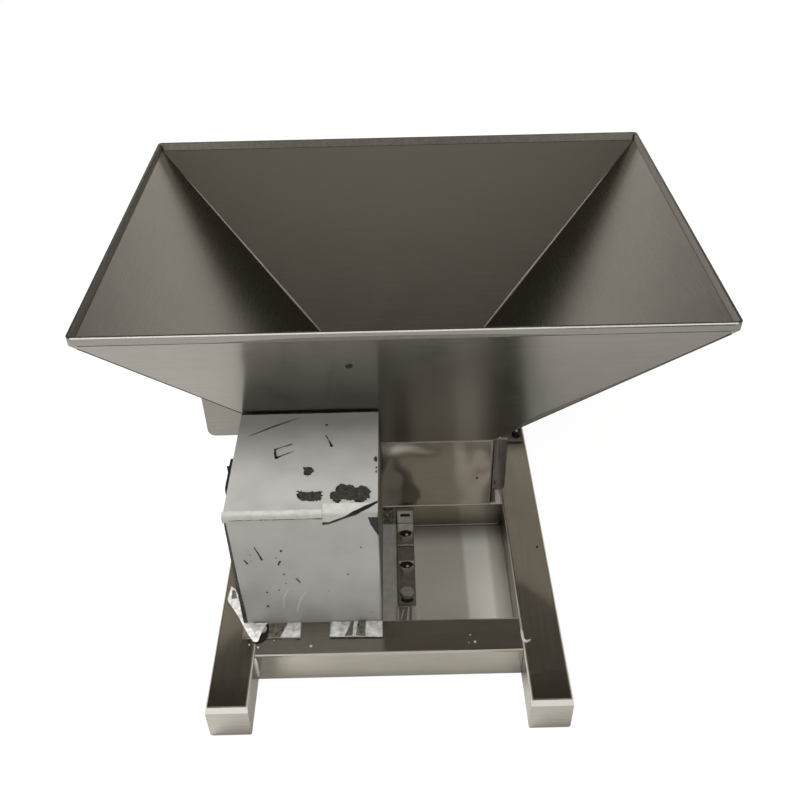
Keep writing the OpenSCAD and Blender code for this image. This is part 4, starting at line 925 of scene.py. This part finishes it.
inner_corner = Vector((left_rail_high.x, tube_low.y, 0))
right_corner = [tube_top(x, y) for x, y in RIGHT_CORNER]
left_corner = [inner_corner + Vector((0, 0, z * MM)) for z in LEFT_CORNER_HEIGHTS]
make_bead("right_corner_weld", right_corner, width=3, height=1.6)
make_bead("left_corner_weld", left_corner, width=4, height=2)
make_spatter()

# The hopper's corner welds: X and Z of their lower ends at the throat and of their upper ends at the rim,
# and Y of both ends of the front ones and of the back ones.
SEAM_THROAT = (93.8, 139.2)
SEAM_RIM = (309.5, 304)
SEAM_ENDS = {"front": (-69.6, -114.5), "back": (125.6, 328)}

for side, sign in (("left", -1), ("right", 1)):
    for end, (throat_y, rim_y) in SEAM_ENDS.items():
        seam_low = Vector((sign * SEAM_THROAT[0], throat_y, SEAM_THROAT[1])) * MM
        seam_high = Vector((sign * SEAM_RIM[0], rim_y, SEAM_RIM[1])) * MM
        name = "hopper_%s_%s_weld" % (side, end)
        make_bead(name, [seam_low, seam_high], width=3, height=1.5, finish="rub_and_highlight")


# Bolts and foot lugs

bracket_low, bracket_high = (Vector(c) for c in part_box("right_plate_bracket"))
lugs_low, lugs_high = (Vector(c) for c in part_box("foot_lugs"))
lug_head_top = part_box("base_plate_bolts")[1][2]
LUG_THICK = 5
LUG_TAB_THICK = 4
LUG_HALF = 8.8
BRACKET_THICK = 3
RAIL_BOLT_HEAD = 4
RAIL_BOLT_EDGE = 6
LUG_BOLTS_Y = (-97, -144)
# Half section of a bolt's bright tip, a painted highlight on its head: radius and height.
BOLT_TIP_HIGHLIGHT = [(0, 0), (1.7, 0), (1.6, 0.5), (1.2, 0.9), (0.6, 1.1), (0, 1.2)]
TIP_SHIFT = (1.2, -1)
TURNED_SIDES = 24


def make_turned(name, profile, places, finish):
    """Small round solids at some places: a profile of radius and height in mm, turned about the upright."""
    build = bmesh.new()
    turns = [2 * math.pi * k / TURNED_SIDES for k in range(TURNED_SIDES)]
    for place in places:
        rings = []
        for r, z in profile:
            rings.append([build.verts.new(Vector(place) + Vector((r * math.cos(a), r * math.sin(a), z)) * MM)
                          for a in (turns if r else [0.0])])
        for low, high in zip(rings, rings[1:]):
            for k in range(TURNED_SIDES):
                j = (k + 1) % TURNED_SIDES
                corners = [low[k % len(low)], low[j % len(low)], high[j % len(high)], high[k % len(high)]]
                build.faces.new(list(dict.fromkeys(corners)))
    return built_piece(build, name, finish)


lug_middle = (lugs_low.x + lugs_high.x) / 2
lug_top = lugs_low.z + LUG_THICK * MM
tab_rise = (lugs_high.z - lug_top) / MM
head_face = Face((lug_middle, 0, lug_head_top), (1, 0, 0), (0, 1, 0))
lug_face = Face((lug_middle, 0, lug_top), (1, 0, 0), (0, 1, 0))
plate_face = Face((lug_middle, 0, lugs_low.z), (1, 0, 0), (0, 1, 0))
lug_tab_face = Face((lug_middle, lugs_high.y - LUG_TAB_THICK * MM, lug_top), (1, 0, 0), (0, 0, 1))
lug_heads = [head_face.at(TIP_SHIFT[0], y + TIP_SHIFT[1]) for y in LUG_BOLTS_Y]
rail_head = (bracket_high.x - RAIL_BOLT_EDGE * MM, (bracket_low.y + bracket_high.y) / 2,
             bracket_low.z + (BRACKET_THICK + RAIL_BOLT_HEAD) * MM)
# Black discs on the lug bolts' heads: painted dark reflection round their bright tips.
LUG_HEAD_REFLECTION = [blot(0, y + 1, 14.2, 10) for y in LUG_BOLTS_Y]
LUG_SHADE = blot(0, -187.2, 14, 8)
# Painted highlights on the lugs: their rear end, a line at their joint and a patch behind the middle bolt.
LUG_END_HIGHLIGHT = oblong(-LUG_HALF, -76, LUG_HALF, -88)
LUG_HIGHLIGHTS = [stroke([(-8.6, -109), (8.8, -109)], [1.2, 1.0]),
            [(-8.2, -132.8), (9, -132.4), (9, -136.2), (-8.2, -136)]]
LUG_END_SUNK = -0.05
PLATE_END = [(-12, -192.5), (4.6, -192.5), (4.4, -212), (-12, -212)]
# Bright streaks on the base plate and a line along its edge: painted highlights.
PLATE_HIGHLIGHTS = [
    stroke([(-10, -193), (-10, -212)], [1.5, 2.0]),
    stroke([(1.3, -193), (-0.3, -212)], [1.8, 2.4]),
    stroke([(-3.7, -195.5), (-7.1, -209)], [0.9, 1.5]),
    stroke([(-14.7, -136), (-14.7, -168)], [0.8, 1.0]),
]
PLATE_FILM = [(-25, -76), (-15, -76), (-15.2, -106.4), (-25, -106.6)]
# Painted shade in the slot of the lugs' tab.
TAB_SLOT_SHADE = oblong(-5.4, 11, 5.4, 15.6)
TAB_PALE = oblong(-LUG_HALF, 1, LUG_HALF, tab_rise - 1)
# A bright patch on the middle tube's top beside the panel: painted highlight.
MIDDLE_TUBE_HIGHLIGHT = [(102.2, -70.6), (108.2, -70.6), (108.6, -62), (106.4, -45), (104.2, -45)]

make_turned("bolt_tip_highlights", BOLT_TIP_HIGHLIGHT, lug_heads + [rail_head], "weld")
make_marks("lug_bolt_dark_reflection", head_face, LUG_HEAD_REFLECTION, 1.2, "black_shade_and_speck")
make_marks("lug_bolt_shade", lug_face, [LUG_SHADE], 0.8, "black_shade_and_speck")
make_marks("plate_bare_end", plate_face, [PLATE_END], 0.3, "plate")
make_marks("plate_highlights", plate_face, PLATE_HIGHLIGHTS, 0.3, "weld", MARK_THICK)
make_marks("plate_film", plate_face, [PLATE_FILM], 0.4, "scuff_and_shade")
make_marks("tab_slot_shade", lug_tab_face, [TAB_SLOT_SHADE], 0.6, "black_shade_and_speck")
make_marks("tab_pale_face", lug_tab_face, [TAB_PALE], 0.3, "galvanised_and_highlight", MARK_SUNK)
make_marks("lug_end_highlight", lug_face, [LUG_END_HIGHLIGHT], 0.4, "galvanised_and_highlight", LUG_END_SUNK)
make_marks("lug_highlights", lug_face, LUG_HIGHLIGHTS, 0.4, "weld")
make_marks("middle_tube_highlight", tube_top_face, [MIDDLE_TUBE_HIGHLIGHT], 0.5, "weld")


# A crumpled scrap of film against the middle cross tube, beside the cover

REAR_SCRAP_X, REAR_SCRAP_WIDTH = -27.5, 11.5
REAR_SCRAP_Z, REAR_SCRAP_HEIGHT = 12.5, 22.5
REAR_SCRAP_LIFT, REAR_SCRAP_CREASE, REAR_SCRAP_SIZE = 0.3, 3.2, 9


def rear_scrap_point(t, w):
    """A point of the crumpled scrap, which stands out from the tube's front."""
    x, z = REAR_SCRAP_X + REAR_SCRAP_WIDTH * w, REAR_SCRAP_Z + REAR_SCRAP_HEIGHT * t
    out = REAR_SCRAP_LIFT + REAR_SCRAP_CREASE * creased(x, z, REAR_SCRAP_SIZE)
    return Vector((x, panel_low.y / MM - out, z)) * MM


make_film("rear_scrap", (18, 14), rear_scrap_point, "clear")


# Studio

FLOOR_SIZE = 14
# The floor's own white glow: its strength, and its share where the camera or the steel's mirror looks at it.
FLOOR_WHITE = 1.12
FLOOR_SEEN = 0.85
FLOOR_MIRRORED = 0.1
# Softboxes, in metres and watts: place, target, size and power.
SOFTBOXES = {
    "left_softbox": ((-1.05, 0.25, 1.7), (0, -0.1, 0.1), (1.1, 0.8), 45),
    "front_softbox": ((-1.3, -1.8, 1.2), (0, -0.4, 0), (1.0, 0.5), 5),
    "right_softbox": ((0.5, -1.3, 1.8), (0.05, -0.15, 0), (0.8, 0.6), 13),
}
# The room's height as the sine of the angle above the horizon, where its colour changes.
WALL_FADE = {"From Min": 0.1, "From Max": 0.6}
ZENITH_FADE = {"From Min": 0.9, "From Max": 0.98}


def white_floor():
    """A matt white paint: even, with no gloss, white where it is lit, and it still takes a soft shadow."""
    material, tree, surface = new_material("matt_white_floor")
    rays = add(tree, "ShaderNodeLightPath").outputs
    mirror = add(tree, "ShaderNodeMath", {0: rays["Is Glossy Ray"], 1: rays["Is Transmission Ray"]},
                 operation="MAXIMUM").outputs[0]
    mirrored, seen = [add(tree, "ShaderNodeMath", {0: ray, 1: share}, operation="MULTIPLY").outputs[0]
                      for ray, share in ((mirror, FLOOR_MIRRORED), (rays["Is Camera Ray"], FLOOR_SEEN))]
    matt = add(tree, "ShaderNodeBsdfDiffuse", {"Color": linear("#ececea")})
    white = add(tree, "ShaderNodeEmission", {"Color": linear("#ffffff"), "Strength": FLOOR_WHITE})
    share = add(tree, "ShaderNodeMixShader", {
        "Fac": add(tree, "ShaderNodeMath", {0: mirrored, 1: seen}, operation="MAXIMUM").outputs[0],
        1: matt.outputs["BSDF"], 2: white.outputs["Emission"]})
    tree.links.new(share.outputs["Shader"], surface)
    return material


def make_floor():
    """The studio's floor: one flat sheet."""
    half = FLOOR_SIZE / 2
    mesh = bpy.data.meshes.new("studio_floor")
    corners = [(x, y, 0) for x, y in oblong(-half, -half, half, half)]
    mesh.from_pydata(corners, [], [(0, 1, 2, 3)])
    mesh.materials.append(white_floor())
    floor = bpy.data.objects.new("studio_floor", mesh)
    bpy.context.scene.collection.objects.link(floor)


def make_softbox(name, place, target, size, power):
    """A soft lamp that looks at a target; the steel doesn't mirror it."""
    data = bpy.data.lights.new(name, "AREA")
    data.shape = "RECTANGLE"
    data.size, data.size_y = size
    data.energy = power
    lamp = bpy.data.objects.new(name, data)
    bpy.context.scene.collection.objects.link(lamp)
    lamp.location = place
    lamp.rotation_euler = (Vector(target) - Vector(place)).to_track_quat("-Z", "Y").to_euler()
    lamp.visible_glossy = False


def make_room():
    """The room round the machine: white at the horizon, dark above, paler overhead, and white where the
    camera sees it."""
    world = bpy.data.worlds.new("studio")
    world.use_nodes = True
    bpy.context.scene.world = world
    tree = world.node_tree
    direction = add(tree, "ShaderNodeTexCoord").outputs["Generated"]
    height = add(tree, "ShaderNodeSeparateXYZ", {"Vector": direction}).outputs["Z"]
    upper, zenith = [add(tree, "ShaderNodeMapRange", {"Value": height, **fade},
                         interpolation_type="SMOOTHSTEP").outputs["Result"]
                     for fade in (WALL_FADE, ZENITH_FADE)]
    seen = add(tree, "ShaderNodeLightPath").outputs["Is Camera Ray"]
    colour = linear("#efeeeb")
    for share, tint in ((upper, "#45403a"), (zenith, "#a8a49c"), (seen, "#ffffff")):
        colour = add(tree, "ShaderNodeMixRGB", {
            "Fac": share, "Color1": colour, "Color2": linear(tint)}).outputs["Color"]
    tree.links.new(colour, tree.nodes["Background"].inputs["Color"])


make_floor()
for name, softbox in SOFTBOXES.items():
    make_softbox(name, *softbox)
make_room()
bpy.context.scene.view_settings.view_transform = "Standard"
